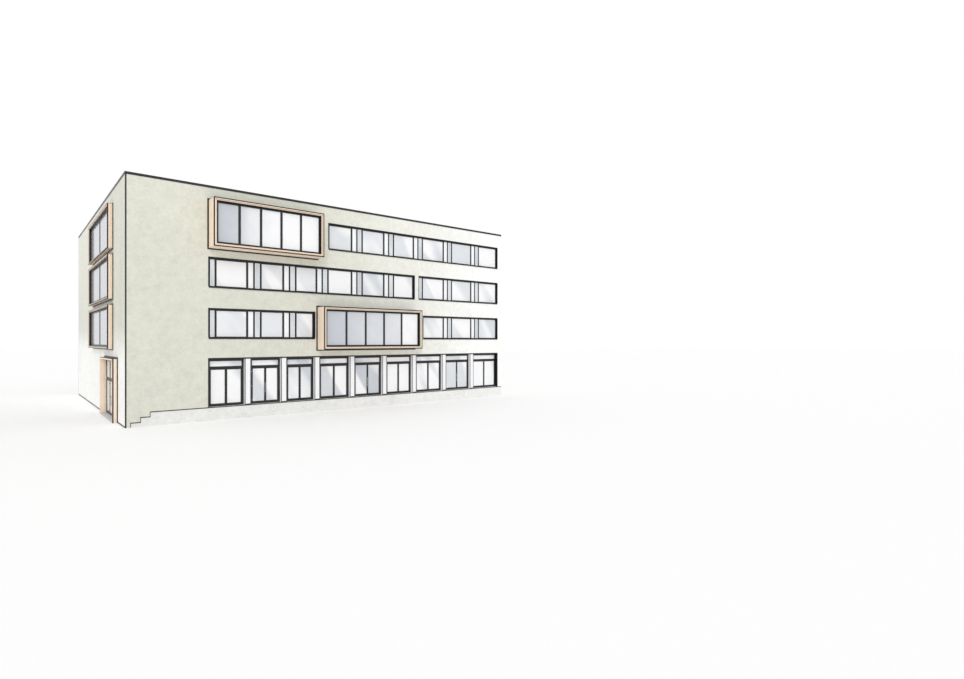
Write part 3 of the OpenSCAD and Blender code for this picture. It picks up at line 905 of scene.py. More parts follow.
class Bench:
    """Makes and shapes meshes with Blender's own operators, one piece of work at a time."""

    round_sides = 24
    smooth_angle = math.radians(35)

    @staticmethod
    def clear() -> None:
        """Deselects everything."""
        bpy.ops.object.select_all(action="DESELECT")

    @staticmethod
    def pick(piece: bpy.types.Object) -> None:
        """Takes one piece in hand: only it is selected, and it is the active one.

        Args:
            piece: the piece.
        """
        Bench.clear()
        piece.select_set(True)
        bpy.context.view_layer.objects.active = piece

    @staticmethod
    def open_up() -> None:
        """Opens the piece in hand for editing, with all of its mesh selected."""
        bpy.ops.object.mode_set(mode="EDIT")
        bpy.ops.mesh.select_all(action="SELECT")

    @staticmethod
    def close_up() -> None:
        """Turns the open piece's faces outwards and ends the editing."""
        bpy.ops.mesh.select_all(action="SELECT")
        bpy.ops.mesh.normals_make_consistent(inside=False)
        bpy.ops.object.mode_set(mode="OBJECT")

    @staticmethod
    def settle(piece: bpy.types.Object) -> None:
        """Puts a piece's place, turn and scale into its mesh.

        Args:
            piece: the piece.
        """
        Bench.pick(piece)
        bpy.ops.object.transform_apply(location=True, rotation=True, scale=True)

    @staticmethod
    def chamfer(piece: bpy.types.Object, width: float, segments: int = 1) -> None:
        """Breaks a piece's sharp edges.

        Args:
            piece: the piece.
            width: how wide the broken edge is.
            segments: how many faces it has.
        """
        bpy.context.view_layer.objects.active = piece
        bevel = piece.modifiers.new("broken_edges", "BEVEL")
        bevel.width = width
        bevel.segments = segments
        bevel.limit_method = "ANGLE"
        bpy.ops.object.modifier_apply(modifier=bevel.name)

    @staticmethod
    def bar(low: Point, high: Point, edge: float = 0.0) -> bpy.types.Object:
        """Makes a straight bar between two corners.

        Args:
            low: its lowest corner.
            high: its highest corner.
            edge: the width of its broken edges.

        Returns:
            The bar, at the origin with its place in its mesh.
        """
        Bench.clear()
        middle = [(a + b) / 2 for a, b in zip(low, high)]
        size = [b - a for a, b in zip(low, high)]
        bpy.ops.mesh.primitive_cube_add(size=1.0, location=middle, scale=size)
        made = bpy.context.active_object
        Bench.settle(made)
        if edge > 0:
            Bench.chamfer(made, edge)
        return made

    @staticmethod
    def dish(piece: bpy.types.Object, margin: float, depth: float) -> None:
        """Sinks the front of a plate inside a margin.

        Args:
            piece: the plate, whose front faces -Y.
            margin: the width that stays.
            depth: how deep the rest is sunk.
        """
        Bench.pick(piece)
        for face in piece.data.polygons:
            face.select = face.normal.y < -0.9
        bpy.ops.object.mode_set(mode="EDIT")
        bpy.ops.mesh.select_mode(type="FACE")
        bpy.ops.mesh.inset(thickness=margin, depth=0.0)
        bpy.ops.transform.translate(value=(0, depth, 0))
        bpy.ops.object.mode_set(mode="OBJECT")

    @staticmethod
    def tube(foot: Point, length: float, radius: float, lying: bool = False) -> bpy.types.Object:
        """Makes a round bar with softened ends.

        Args:
            foot: the middle of its lower or front end.
            length: its length.
            radius: its radius.
            lying: whether it lies along Y; it stands otherwise.

        Returns:
            The round bar.
        """
        Bench.clear()
        way = (0, 1, 0) if lying else (0, 0, 1)
        bpy.ops.mesh.primitive_cylinder_add(
            vertices=Bench.round_sides,
            radius=radius,
            depth=length,
            location=[f + w * length / 2 for f, w in zip(foot, way)],
            rotation=(-math.pi / 2 if lying else 0, 0, 0),
        )
        made = bpy.context.active_object
        Bench.settle(made)
        Bench.chamfer(made, min(radius, length) * 0.15, 2)
        Bench.pick(made)
        bpy.ops.object.shade_smooth_by_angle(angle=Bench.smooth_angle)
        return made

    @staticmethod
    def ring(
        width: float, height: float, face: float, depth: float, edge: float, back: float = 0.0
    ) -> bpy.types.Object:
        """Makes an upright rectangular ring, such as a bead round a pane.

        Its lower left corner is over the origin, and it runs back along Y.

        Args:
            width: its outer width along X.
            height: its outer height along Z.
            face: the width of its bars.
            depth: its depth along Y.
            edge: the width of its broken edges.
            back: where its front is on Y.

        Returns:
            The ring.
        """
        Bench.clear()
        bpy.ops.mesh.primitive_plane_add(size=1.0, location=(width / 2, 0, height / 2), rotation=(math.pi / 2, 0, 0))
        made = bpy.context.active_object
        made.scale = (width, height, 1.0)
        Bench.settle(made)
        Bench.open_up()
        bpy.ops.mesh.inset(thickness=face, depth=0.0)
        bpy.ops.mesh.delete(type="FACE")
        bpy.ops.mesh.select_all(action="SELECT")
        bpy.ops.mesh.extrude_region_move(TRANSFORM_OT_translate={"value": (0, depth, 0)})
        Bench.close_up()
        Bench.chamfer(made, edge)
        made.data.transform(Matrix.Translation((0, back, 0)))
        return made

    @staticmethod
    def profile(points: Section, start: float, length: float) -> bpy.types.Object:
        """Draws out a section along X.

        Args:
            points: the section's corners in Y and Z, in order.
            start: where it starts.
            length: how far it runs.

        Returns:
            The bar.
        """
        Bench.clear()
        bpy.ops.mesh.primitive_circle_add(vertices=len(points), radius=1.0, fill_type="NGON")
        made = bpy.context.active_object
        for vertex, (y, z) in zip(made.data.vertices, points):
            vertex.co = (start, y, z)
        Bench.open_up()
        bpy.ops.mesh.extrude_region_move(TRANSFORM_OT_translate={"value": (length, 0, 0)})
        Bench.close_up()
        return made

    @staticmethod
    def cut(piece: bpy.types.Object, point: Point, normal: Point) -> None:
        """Cuts away the part of a piece that the normal points to, and closes the cut.

        Args:
            piece: the piece.
            point: a point on the cut.
            normal: the direction of what is taken away.
        """
        Bench.pick(piece)
        Bench.open_up()
        bpy.ops.mesh.bisect(plane_co=point, plane_no=normal, use_fill=True, clear_outer=True)
        Bench.close_up()

    @staticmethod
    def tone(board: bpy.types.Object, tone: float) -> bpy.types.Object:
        """Gives a board its own tone, which the timber reads.

        Args:
            board: the board.
            tone: from 0, the lightest, to 1.

        Returns:
            The board.
        """
        layer = board.data.attributes.new(BOARD_TONE, "FLOAT", "POINT")
        layer.data.foreach_set("value", [tone] * len(board.data.vertices))
        return board

    @staticmethod
    def spread(piece: bpy.types.Object, places: Iterable[Matrix]) -> Parts:
        """Copies a piece to other places and takes the first one away.

        Args:
            piece: the piece that is copied.
            places: a matrix for each copy; one that mirrors keeps the faces outwards.

        Returns:
            The copies, each with its own mesh.
        """
        made = []
        for place in places:
            twin = piece.copy()
            twin.data = piece.data.copy()
            twin.data.transform(place)
            if place.determinant() < 0:
                twin.data.flip_normals()
            bpy.context.collection.objects.link(twin)
            made.append(twin)
        bpy.data.objects.remove(piece)
        return made

    @staticmethod
    def joined(parts: Sequence[bpy.types.Object], name: str) -> bpy.types.Object:
        """Joins parts into one piece.

        Args:
            parts: the parts.
            name: the piece's name.

        Returns:
            The piece.
        """
        Bench.clear()
        for part in parts:
            part.select_set(True)
        piece = parts[0]
        bpy.context.view_layer.objects.active = piece
        if len(parts) > 1:
            bpy.ops.object.join()
        piece.name = name
        piece.data.name = name
        return piece

    @staticmethod
    def fitted(
        parts: Sequence[bpy.types.Object], name: str, material: bpy.types.Material, slot: Slot, body: str = BUILDING
    ) -> bpy.types.Object:
        """Joins parts into a finished piece, and gives it its material and body.

        Args:
            parts: the parts.
            name: the piece's name.
            material: its finish.
            slot: the record's material slot; not used.
            body: the body that it rides on.

        Returns:
            The piece.
        """
        piece = Bench.joined(parts, name)
        piece.data.materials.append(material)
        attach(piece, body)
        log.info("%s: %d faces on %s", piece.name, len(piece.data.polygons), body)
        return piece


# Windows, timber, doors and trim


class Field(Enum):
    """A field of a ribbon window, between two mullions."""

    FLAP = "flap"
    CASEMENT = "casement"
    PANE = "pane"


@dataclass(frozen=True)
class Ribbon:
    """One ribbon window: its storey and bays, and how it starts and ends.

    Each bay has a flap, a casement and a wide pane. The first bay has no flap, may start some vent widths late, and
    may be bare of its casement too. A short ribbon ends before a timber box.
    """

    side: Side
    storey: int
    first: int
    last: int
    late: int = 0
    bare: bool = False
    short: bool = False

    def start(self, wing: Wing) -> float:
        """Gives where the ribbon starts."""
        return wing.bay(self.first) + self.late * wing.vent

    def end(self, wing: Wing) -> float:
        """Gives where the ribbon ends."""
        return wing.bay(self.last) - (wing.box_gap if self.short else 0.0)

    def low(self, wing: Wing) -> float:
        """Gives the height of its sill."""
        return wing.floor(self.storey) + wing.sill

    def narrow(self, bay: int) -> tuple[Field, ...]:
        """Gives the narrow fields of a bay, which come before its wide pane.

        Args:
            bay: the bay's number.

        Returns:
            The kinds of the fields, in order.
        """
        if bay > self.first:
            return Field.FLAP, Field.CASEMENT
        return () if self.bare else (Field.CASEMENT,)

    def fields(self, wing: Wing) -> list[tuple[Field, float, float]]:
        """Gives each field's kind, and where it is clear between the mullions.

        Args:
            wing: the wing's sizes.

        Returns:
            A kind, a start and an end for each field.
        """
        found = []
        for bay in range(self.first, self.last):
            here = self.start(wing) if bay == self.first else wing.bay(bay)
            for kind in self.narrow(bay):
                found.append((kind, here, here + wing.vent))
                here += wing.vent
            there = self.end(wing) if bay == self.last - 1 else wing.bay(bay + 1)
            found.append((Field.PANE, here, there))
        return [(kind, *self.clear(wing, a, b)) for kind, a, b in found]

    def clear(self, wing: Wing, a: float, b: float) -> tuple[float, float]:
        """Takes the frame off a field's two ends; the ribbon's own ends have a whole frame.

        Args:
            wing: the wing's sizes.
            a: where the field starts, on a mullion's middle or at the ribbon's end.
            b: where it ends.

        Returns:
            Where it is clear.
        """
        near = wing.frame if math.isclose(a, self.start(wing), abs_tol=0.001) else wing.frame / 2
        far = wing.frame if math.isclose(b, self.end(wing), abs_tol=0.001) else wing.frame / 2
        return a + near, b - far


RIBBONS = (
    Ribbon(Side.FRONT, 1, 0, 3, short=True),
    Ribbon(Side.FRONT, 1, 6, 9, late=2, bare=True),
    Ribbon(Side.FRONT, 2, 0, 6),
    Ribbon(Side.FRONT, 2, 6, 9, late=1),
    Ribbon(Side.FRONT, 3, 3, 9, late=2, bare=True),
    *(Ribbon(Side.BACK, storey, 0, 6) for storey in range(4)),
    *(Ribbon(Side.BACK, storey, 6, 9, late=1) for storey in range(4)),
)


@dataclass
class Glazed:
    """A sub-assembly with panes, and the glazing bead that goes round each of them."""

    finishes: Finishes
    wing: Wing
    bead: float = 0.018
    bead_back: float = 0.005
    bead_edge: float = 0.004

    def glazing_bead(self, width: float, height: float) -> bpy.types.Object:
        """Makes the bead for a pane of this size, from a little behind its frame's face back to the glass."""
        depth = self.wing.glass_back - self.bead_back
        return Bench.ring(width, height, self.bead, depth, self.bead_edge, self.bead_back)


@dataclass
class RibbonTrim(Glazed):
    """Beads, casements, flaps, sill ends and sheet metal reveals of the ribbon windows."""

    sash: float = 0.032
    sash_back: float = 0.004
    sash_edge: float = 0.003
    panel_t: float = 0.044
    panel_gap: float = 0.005
    panel_lift: float = 0.01
    light_gap: float = 0.001
    light_lift: float = 0.006
    light_rim: float = 0.012
    light_dish: float = 0.003
    sunk: float = 0.008
    rail_w: float = 0.022
    rail_from: float = 0.42
    rail_to: float = 0.58
    sheet: float = 0.003
    sheet_edge: float = 0.0008
    lip: float = 0.035
    lip_out: float = 0.012
    sill_out: float = 0.04
    sill_t: float = 0.024
    sill_lap: float = 0.002
    sill_hook: float = 0.014
    upstand: float = 0.03
    upstand_end: float = 0.012

    @property
    def panel_face(self) -> float:
        """How far the face of a ventilation panel is behind the frame's face."""
        return (self.wing.frame_depth - self.panel_t) / 2

    def of_kind(self, kind: Field) -> dict[tuple[float, float], list[Matrix]]:
        """Gathers the fields of a kind by size.

        Args:
            kind: the kind of field.

        Returns:
            The places of the fields for each width and height.
        """
        w = self.wing
        height = w.ribbon - 2 * w.frame
        sizes: dict[tuple[float, float], list[Matrix]] = {}
        for ribbon in RIBBONS:
            for found, start, end in ribbon.fields(w):
                if found is kind:
                    place = w.place(ribbon.side, start, w.reveal, ribbon.low(w) + w.frame)
                    sizes.setdefault((round(end - start, 4), height), []).append(place)
        return sizes

    def sash_ring(self, width: float, height: float) -> bpy.types.Object:
        """Makes the pale sash round a casement or a flap."""
        depth = self.panel_face - self.sash_back
        return Bench.ring(width, height, self.sash, depth, self.sash_edge, self.sash_back)

    def beads(self) -> None:
        """Puts a glazing bead round each wide pane."""
        parts: Parts = []
        for (width, height), places in self.of_kind(Field.PANE).items():
            parts += Bench.spread(self.glazing_bead(width, height), places)
        Bench.fitted(parts, "ribbon_beads", self.finishes.frame, Slot.FRAME)

    def casements(self) -> None:
        """Makes the narrow glazed casements beside the panes: a pale sash round a narrow light."""
        rim = self.sash + self.light_gap
        front, back = self.panel_face - self.light_lift, self.panel_face + self.sunk
        sashes: Parts = []
        lights: Parts = []
        for (width, height), places in self.of_kind(Field.CASEMENT).items():
            sashes += Bench.spread(self.sash_ring(width, height), places)
            light = Bench.bar((rim, front, rim), (width - rim, back, height - rim))
            Bench.dish(light, self.light_rim, self.light_dish)
            lights += Bench.spread(light, places)
        Bench.fitted(sashes, "casement_sashes", self.finishes.vent, Slot.VENT)
        Bench.fitted(lights, "casement_lights", self.finishes.vent_glass, Slot.GLASS)

    def flaps(self) -> None:
        """Makes the solid ventilation flaps: a sash with two raised panels and a pull rail."""
        gap, edge = self.panel_gap, self.bead_edge
        front, back = self.panel_face - self.panel_lift, self.panel_face + self.sunk
        parts: Parts = []
        for (width, height), places in self.of_kind(Field.FLAP).items():
            low = self.sash + gap
            half = (width - 2 * self.sash - 4 * gap) / 2
            panels = [
                Bench.bar((x, front, low), (x + half, back, height - low), edge)
                for x in (low, low + half + 2 * gap)
            ]
            foot, head = height * self.rail_from, height * self.rail_to
            rail = Bench.bar((self.sash, 0.0, foot), (self.sash + self.rail_w, front, head), edge)
            flap = Bench.joined([self.sash_ring(width, height), *panels, rail], "flap")
            parts += Bench.spread(flap, places)
        Bench.fitted(parts, "ventilation_flaps", self.finishes.vent, Slot.VENT)

    def sill_ends(self) -> None:
        """Closes each sill with an upturned end."""
        w, t, out = self.wing, self.sill_t, self.sill_out
        section = (
            (w.reveal, -self.sill_lap), (w.reveal, t + self.upstand), (0.0, t * 0.7 + self.upstand),
            (-out, t * 0.5 + self.upstand_end), (-out, -t), (-out + self.sill_hook, -t), (0.0, -self.sill_lap),
        )
        cap = Bench.profile(section, 0.0, self.sheet)
        Bench.chamfer(cap, self.sheet_edge)
        places = [
            w.place(ribbon.side, x, 0.0, ribbon.low(w))
            for ribbon in RIBBONS
            for x in (ribbon.start(w), ribbon.end(w) - self.sheet)
        ]
        Bench.fitted(Bench.spread(cap, places), "sill_ends", self.finishes.coping, Slot.COPING)

    def reveals(self) -> None:
        """Lines the jambs and heads with dark folded sheet, which also paints their shade; its lip laps onto the
        plaster.
        """
        w, t, lip, out = self.wing, self.sheet, self.lip, self.lip_out
        section = (
            (-out, 0.0), (-out, lip), (-SEAT, lip), (-SEAT, 0.0), (w.reveal, 0.0), (w.reveal, -t), (-out, -t),
        )
        tall = w.ribbon - self.sill_t - self.upstand
        parts: Parts = []
        for ribbon in RIBBONS:
            start, end = ribbon.start(w), ribbon.end(w)
            head = ribbon.low(w) + w.ribbon
            sheet = Bench.profile(section, start - lip, end - start + 2 * lip)
            parts += Bench.spread(sheet, [w.place(ribbon.side, z=head)])
            for x, turn in ((start, 1), (end, -1)):
                stand = Matrix(((0, 0, -turn, 0), (0, 1, 0, 0), (1, 0, 0, 0), (0, 0, 0, 1)))
                parts += Bench.spread(Bench.profile(section, -tall, tall), [w.place(ribbon.side, x, z=head) @ stand])
        Bench.fitted(parts, "ribbon_reveals", self.finishes.frame, Slot.FRAME)

    def build(self) -> None:
        """Builds all of it."""
        self.beads()
        self.casements()
        self.flaps()
        self.sill_ends()
        self.reveals()


@dataclass(frozen=True)
class Casing:
    """Sizes of one timber casing: a box on the front, the gable's boxes, or the portal, which stands.

    A corner is where the casing starts along the wall, and its height. The strip is the sheet metal round its rim.
    """

    name: str
    side: Side
    corners: tuple[tuple[float, float], ...]
    width: float
    height: float
    out: float
    thick: float
    strip: float
    glass_out: float = 0.0
    panes: int = 0
    standing: bool = False


def casings(w: Wing) -> tuple[Casing, ...]:
    """Gives the casings of the two front boxes, the gable's boxes and the portal.

    Args:
        w: the wing's sizes.

    Returns:
        Their sizes.
    """
    first = ((w.room(1), w.floor(1) + w.box_lift),)
    third = ((w.room(0), w.floor(3) + w.box_lift),)
    gable = tuple((w.south + w.gable_box_at, w.floor(storey) + w.gable_box_lift) for storey in (1, 2, 3))
    portal = ((w.portal_start, 0.0),)
    deep = (w.box_h, w.box_out, w.box_thick, w.box_strip, w.box_glass_out, w.box_panes)
    flat = (w.gable_box_h, w.gable_box_out, w.gable_thick, w.gable_strip, w.gable_glass_out, w.gable_panes)
    open_foot = (w.portal_h, w.portal_out, w.gable_thick, w.gable_strip)
    return (
        Casing("box_first", Side.FRONT, first, w.rooms[1], *deep),
        Casing("box_third", Side.FRONT, third, w.rooms[0], *deep),
        Casing("gable_boxes", Side.GABLE, gable, w.gable_box_w, *flat),
        Casing("portal", Side.GABLE, portal, w.portal_w, *open_foot, standing=True),
    )


@dataclass
class TimberCasing:
    """A timber box or the portal: rim, cladding, core, sheet metal cover and edge strip."""

    finishes: Finishes
    wing: Wing
    casing: Casing
    seed: int
    step: float = 0.075
    step_part: float = 0.4
    strip_back: float = 0.065
    rim_back: float = 0.002
    inner_rim: float = 0.04
    inner_rim_shade: float = 0.6
    gutter: float = 0.004
    shadow_gap: float = 0.016
    skin: float = 0.024
    membrane: float = 0.006
    slack: float = 0.001
    seat: float = 0.02
    joint: float = 0.006
    open_joint: float = 0.014
    end_gap: float = 0.002
    foot_gap: float = 0.004
    splits: tuple[float, float] = (0.61, 0.42)
    metal_edge: float = 0.002
    rim_edge: float = 0.003
    board_edge: float = 0.0025
    flashing: float = 0.09
    flashing_out: float = 0.014
    upstand: float = 0.05
    upstand_t: float = 0.004
    lining_t: float = 0.003
    cover_in: float = 0.01
    cover_low: float = 0.012
    cover_high: float = 0.006
    seam_w: float = 0.008
    seam_edge: float = 0.0015
    board_w: float = 0.195
    tones: Random = field(init=False)

    def __post_init__(self) -> None:
        """Starts the row of board tones."""
        self.tones = Random(self.seed)

    @property
    def along(self) -> Grain:
        """The grain of the boards that run along the wall."""
        return Grain.ALONG_Y if self.casing.side is Side.GABLE else Grain.ALONG_X

    @property
    def rim(self) -> float:
        """Where the stepped rim's back is, on Y."""
        return self.step - self.casing.out

    def members(
        self, offset: float, face: float, front: float, back: float, edge: float = 0.0, deep: float = 0.0
    ) -> tuple[Parts, Parts]:
        """Makes a mitred frame just inside an offset from the casing's outline.

        Args:
            offset: how far its outside is inside the outline.
            face: its bars' width.
            front: its front in the drawing's Y.
            back: its back.
            edge: the width of its broken edges.
            deep: how much deeper its tone is than a common board's; on the inner rim this is painted shade.

        Returns:
            The uprights, and the bars along the wall; a standing casing has none at its foot.
        """
        w, h, o, standing = self.casing.width, self.casing.height, offset, self.casing.standing
        foot = 0.0 if standing else o
        gap = self.joint / 4

        def bar(low: Point, high: Point, *cuts: tuple[float, float, int, int]) -> bpy.types.Object:
            """Makes one bar and cuts its mitres.

            Args:
                low: its lowest corner.
                high: its highest corner.
                cuts: a corner of the outline and the way out of it, for each mitre.

            Returns:
                The bar, with its board tone.
            """
            made = Bench.bar(low, high)
            for x, z, right, up in cuts:
                Bench.cut(made, (x - right * gap, 0.0, z - up * gap), (right, 0.0, up))
            if edge > 0:
                Bench.chamfer(made, edge)
            return Bench.tone(made, deep + self.tones.random() * (1 - deep))

        left = [(o, h - o, 1, 1)] + ([] if standing else [(o, o, 1, -1)])
        right = [(w - o, h - o, -1, 1)] + ([] if standing else [(w - o, o, -1, -1)])
        uprights = [
            bar((o, front, foot), (o + face, back, h - o), *left),
            bar((w - o - face, front, foot), (w - o, back, h - o), *right),
        ]
        lengths = [bar((o, front, h - o - face), (w - o, back, h - o), (o, h - o, -1, -1), (w - o, h - o, 1, -1))]
        if not standing:
            lengths.append(bar((o, front, o), (w - o, back, o + face), (o, o, -1, 1), (w - o, o, 1, 1)))
        return uprights, lengths

    def board(self, low: Point, high: Point) -> bpy.types.Object:
        """Makes one board between two corners, with its own tone."""
        return Bench.tone(Bench.bar(low, high, self.board_edge), self.tones.random())

    def courses(self, front: float, back: float, gap: float) -> list[tuple[float, float]]:
        """Divides a depth into boards.

        Args:
            front: where the boards start.
            back: where they end.
            gap: the joint between two boards.

        Returns:
            The start and end of each board.
        """
        count = max(1, round((back - front) / self.board_w))
        pitch = (back - front) / count
        half = gap / 2
        return [(front + i * pitch + half, front + (i + 1) * pitch - half) for i in range(count)]

    def cladding(self) -> tuple[Parts, Parts]:
        """Boards the cheeks upright and, unless the casing stands, the underside lengthways.

        Returns:
            The cheeks' boards, and the underside's.
        """
        w, h, s = self.casing.width, self.casing.height, self.skin
        low = self.foot_gap if self.casing.standing else s + self.end_gap
        uprights = [
            self.board((x, y0, low), (x + s, y1, h - s - self.end_gap))
            for y0, y1 in self.courses(self.rim, self.seat, self.joint)
            for x in (0.0, w - s)
        ]
        lengths: Parts = []
        if not self.casing.standing:
            for number, (y0, y1) in enumerate(self.courses(self.rim, self.seat, self.open_joint)):
                split = w * self.splits[number % 2]
                for x0, x1 in ((0.0, split - self.joint / 2), (split + self.joint / 2, w)):
                    lengths.append(self.board((x0, y0, 0.0), (x1, y1, s)))
        return uprights, lengths

    def lining(self) -> tuple[Parts, Parts]:
        """Boards the inner sides of a standing casing, from the rim to the inside.

        Returns:
            The jambs' boards, and the soffit's.
        """
        w, h, s, t = self.casing.width, self.casing.height, self.skin, self.casing.thick
        uprights: Parts = []
        lengths: Parts = []
        for y0, y1 in self.courses(self.rim, self.wing.wall, self.joint):
            for x in (t - s, w - t):
                uprights.append(self.board((x, y0, 0.0), (x + s, y1, h - t - self.end_gap)))
            lengths.append(self.board((t - s, y0, h - t), (w - t + s, y1, h - t + s)))
        return uprights, lengths

    def cover(self) -> Parts:
        """Makes the sheet metal cover of the top, sloping outwards, with upright seams a metre apart.

        Returns:
            The sheet and its seams.
        """
        w, h, half = self.casing.width, self.casing.height, self.seam_w / 2
        front = self.casing.strip + self.cover_in - self.casing.out
        low, high = h - self.cover_low, h - self.cover_high
        section = ((front, h - self.skin), (front, low), (0.0, high), (0.0, h - self.skin))
        seam = Bench.bar((-half, front + self.cover_in, low), (half, -self.end_gap, h - self.slack), self.seam_edge)
        count = round(w)
        seams = [Matrix.Translation((w * (i + 0.5) / count, 0, 0)) for i in range(count)]
        return [Bench.profile(section, 0.0, w), *Bench.spread(seam, seams)]

    def metalwork(self) -> Parts:
        """Makes the cover, the strip round the rim, and the flashing on the plaster with its upstand.

        Returns:
            All of it.
        """
        c, edge, slack = self.casing, self.metal_edge, self.slack
        metal = self.cover()
        for uprights, lengths in (
            self.members(0.0, c.strip, -c.out, self.strip_back - c.out, edge),
            self.members(-self.flashing, self.flashing - slack, -self.flashing_out, -SEAT, edge),
            self.members(-self.upstand_t - slack, self.upstand_t, -self.upstand, -self.flashing_out, edge / 2),
        ):
            metal += uprights + lengths
        return metal

    def build(self) -> None:
        """Builds the casing in its own drawing, and puts copies of it in place."""
        c, f, gap = self.casing, self.finishes, self.shadow_gap
        metal = self.metalwork()
        # The outer rim, with a shadow gap between it and the inner one on a box
        band = c.thick if c.standing else c.thick * (1 - self.step_part)
        woods = [self.members(c.strip, band - c.strip, self.rim_back - c.out, self.rim, self.rim_edge)]
        darks = [self.members(self.skin, self.membrane, self.rim, self.seat)]
        start = self.rim
        if not c.standing:
            start += self.inner_rim
            face = c.thick - band - gap
            # The inner rim's boards are painted a deeper tone, as shade in the recess
            woods.append(self.members(band + gap, face, self.rim, start, self.rim_edge, self.inner_rim_shade))
            # Dark rubber backs the shadow gap; it is a real filler, and it also paints the gap's shade
            darks.append(self.members(band + self.slack, gap - 2 * self.slack, self.rim + self.gutter, start))
            # Dark sheet lines the reveal from the inner rim to the glass, and also paints the reveal's shade
            lining = self.members(c.thick, self.lining_t, start, -c.glass_out)
            metal += lining[0] + lining[1]
        # The core behind the cladding, and the part inside the wall
        lined = self.skin + self.slack if c.standing else 0.0
        behind = self.skin + self.membrane
        woods.append(self.members(behind, c.thick - behind - lined, start, self.seat))
        woods.append(self.members(0.0, c.thick - lined, self.seat, self.wing.wall))
        woods.append(self.cladding())
        if c.standing:
            woods.append(self.lining())
        places = [self.wing.place(c.side, x, z=z) for x, z in c.corners]
        whole = (
            ("uprights", [board for pair in woods for board in pair[0]], f.timber[Grain.ALONG_Z], Slot.TIMBER),
            ("lengths", [board for pair in woods for board in pair[1]], f.timber[self.along], Slot.TIMBER),
            ("membrane", [sheet for pair in darks for sheet in pair[0] + pair[1]], f.rubber, Slot.TIMBER),
            ("edge_strip", metal, f.coping, Slot.COPING),
        )
        for kind, parts, material, slot in whole:
            copies = Bench.spread(Bench.joined(parts, kind), places)
            piece = Bench.fitted(copies, f"{c.name}_{kind}", material, slot)
            if kind == "uprights":
                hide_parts(c.name)


@dataclass
class BoxBeads(Glazed):
    """Glazing beads of the panes in the timber boxes."""

    bead: float = 0.02
    bead_back: float = 0.006

    def row(self, casing: Casing) -> Parts:
        """Puts a bead round each pane of a casing's boxes.

        Args:
            casing: the casing's sizes.

        Returns:
            The beads.
        """
        w = self.wing
        rim = casing.thick + w.frame
        pitch = (casing.width - 2 * casing.thick - w.frame) / casing.panes
        ring = self.glazing_bead(pitch - w.frame, casing.height - 2 * rim)
        places = [
            w.place(casing.side, x + rim + number * pitch, -casing.glass_out, z + rim)
            for x, z in casing.corners
            for number in range(casing.panes)
        ]
        return Bench.spread(ring, places)

    def build(self) -> None:
        """Builds the beads of all five boxes."""
        parts = [bead for casing in casings(self.wing) if casing.panes for bead in self.row(casing)]
        Bench.fitted(parts, "box_beads", self.finishes.frame, Slot.FRAME)


@dataclass(frozen=True)
class ThresholdPlate:
    """A ribbed steel plate, which starts at the origin and lies along X."""

    thick: float = 0.0015
    edge: float = 0.0005
    rib_w: float = 0.004
    rib_h: float = 0.002
    rib_edge: float = 0.0008
    pitch: float = 0.012
    ribs: int = 6

    def build(self, length: float, depth: float) -> bpy.types.Object:
        """Makes the plate.

        Args:
            length: its length along X.
            depth: its depth along Y.

        Returns:
            The plate.
        """
        plate = Bench.bar((0.0, 0.0, 0.0), (length, depth, self.thick), self.edge)
        rib = Bench.bar(
            (self.rib_w, 0.0, self.thick), (length - self.rib_w, self.rib_w, self.thick + self.rib_h), self.rib_edge
        )
        places = [Matrix.Translation((0, self.pitch * (number + 1), 0)) for number in range(self.ribs)]
        return Bench.joined([plate, *Bench.spread(rib, places)], "plate")


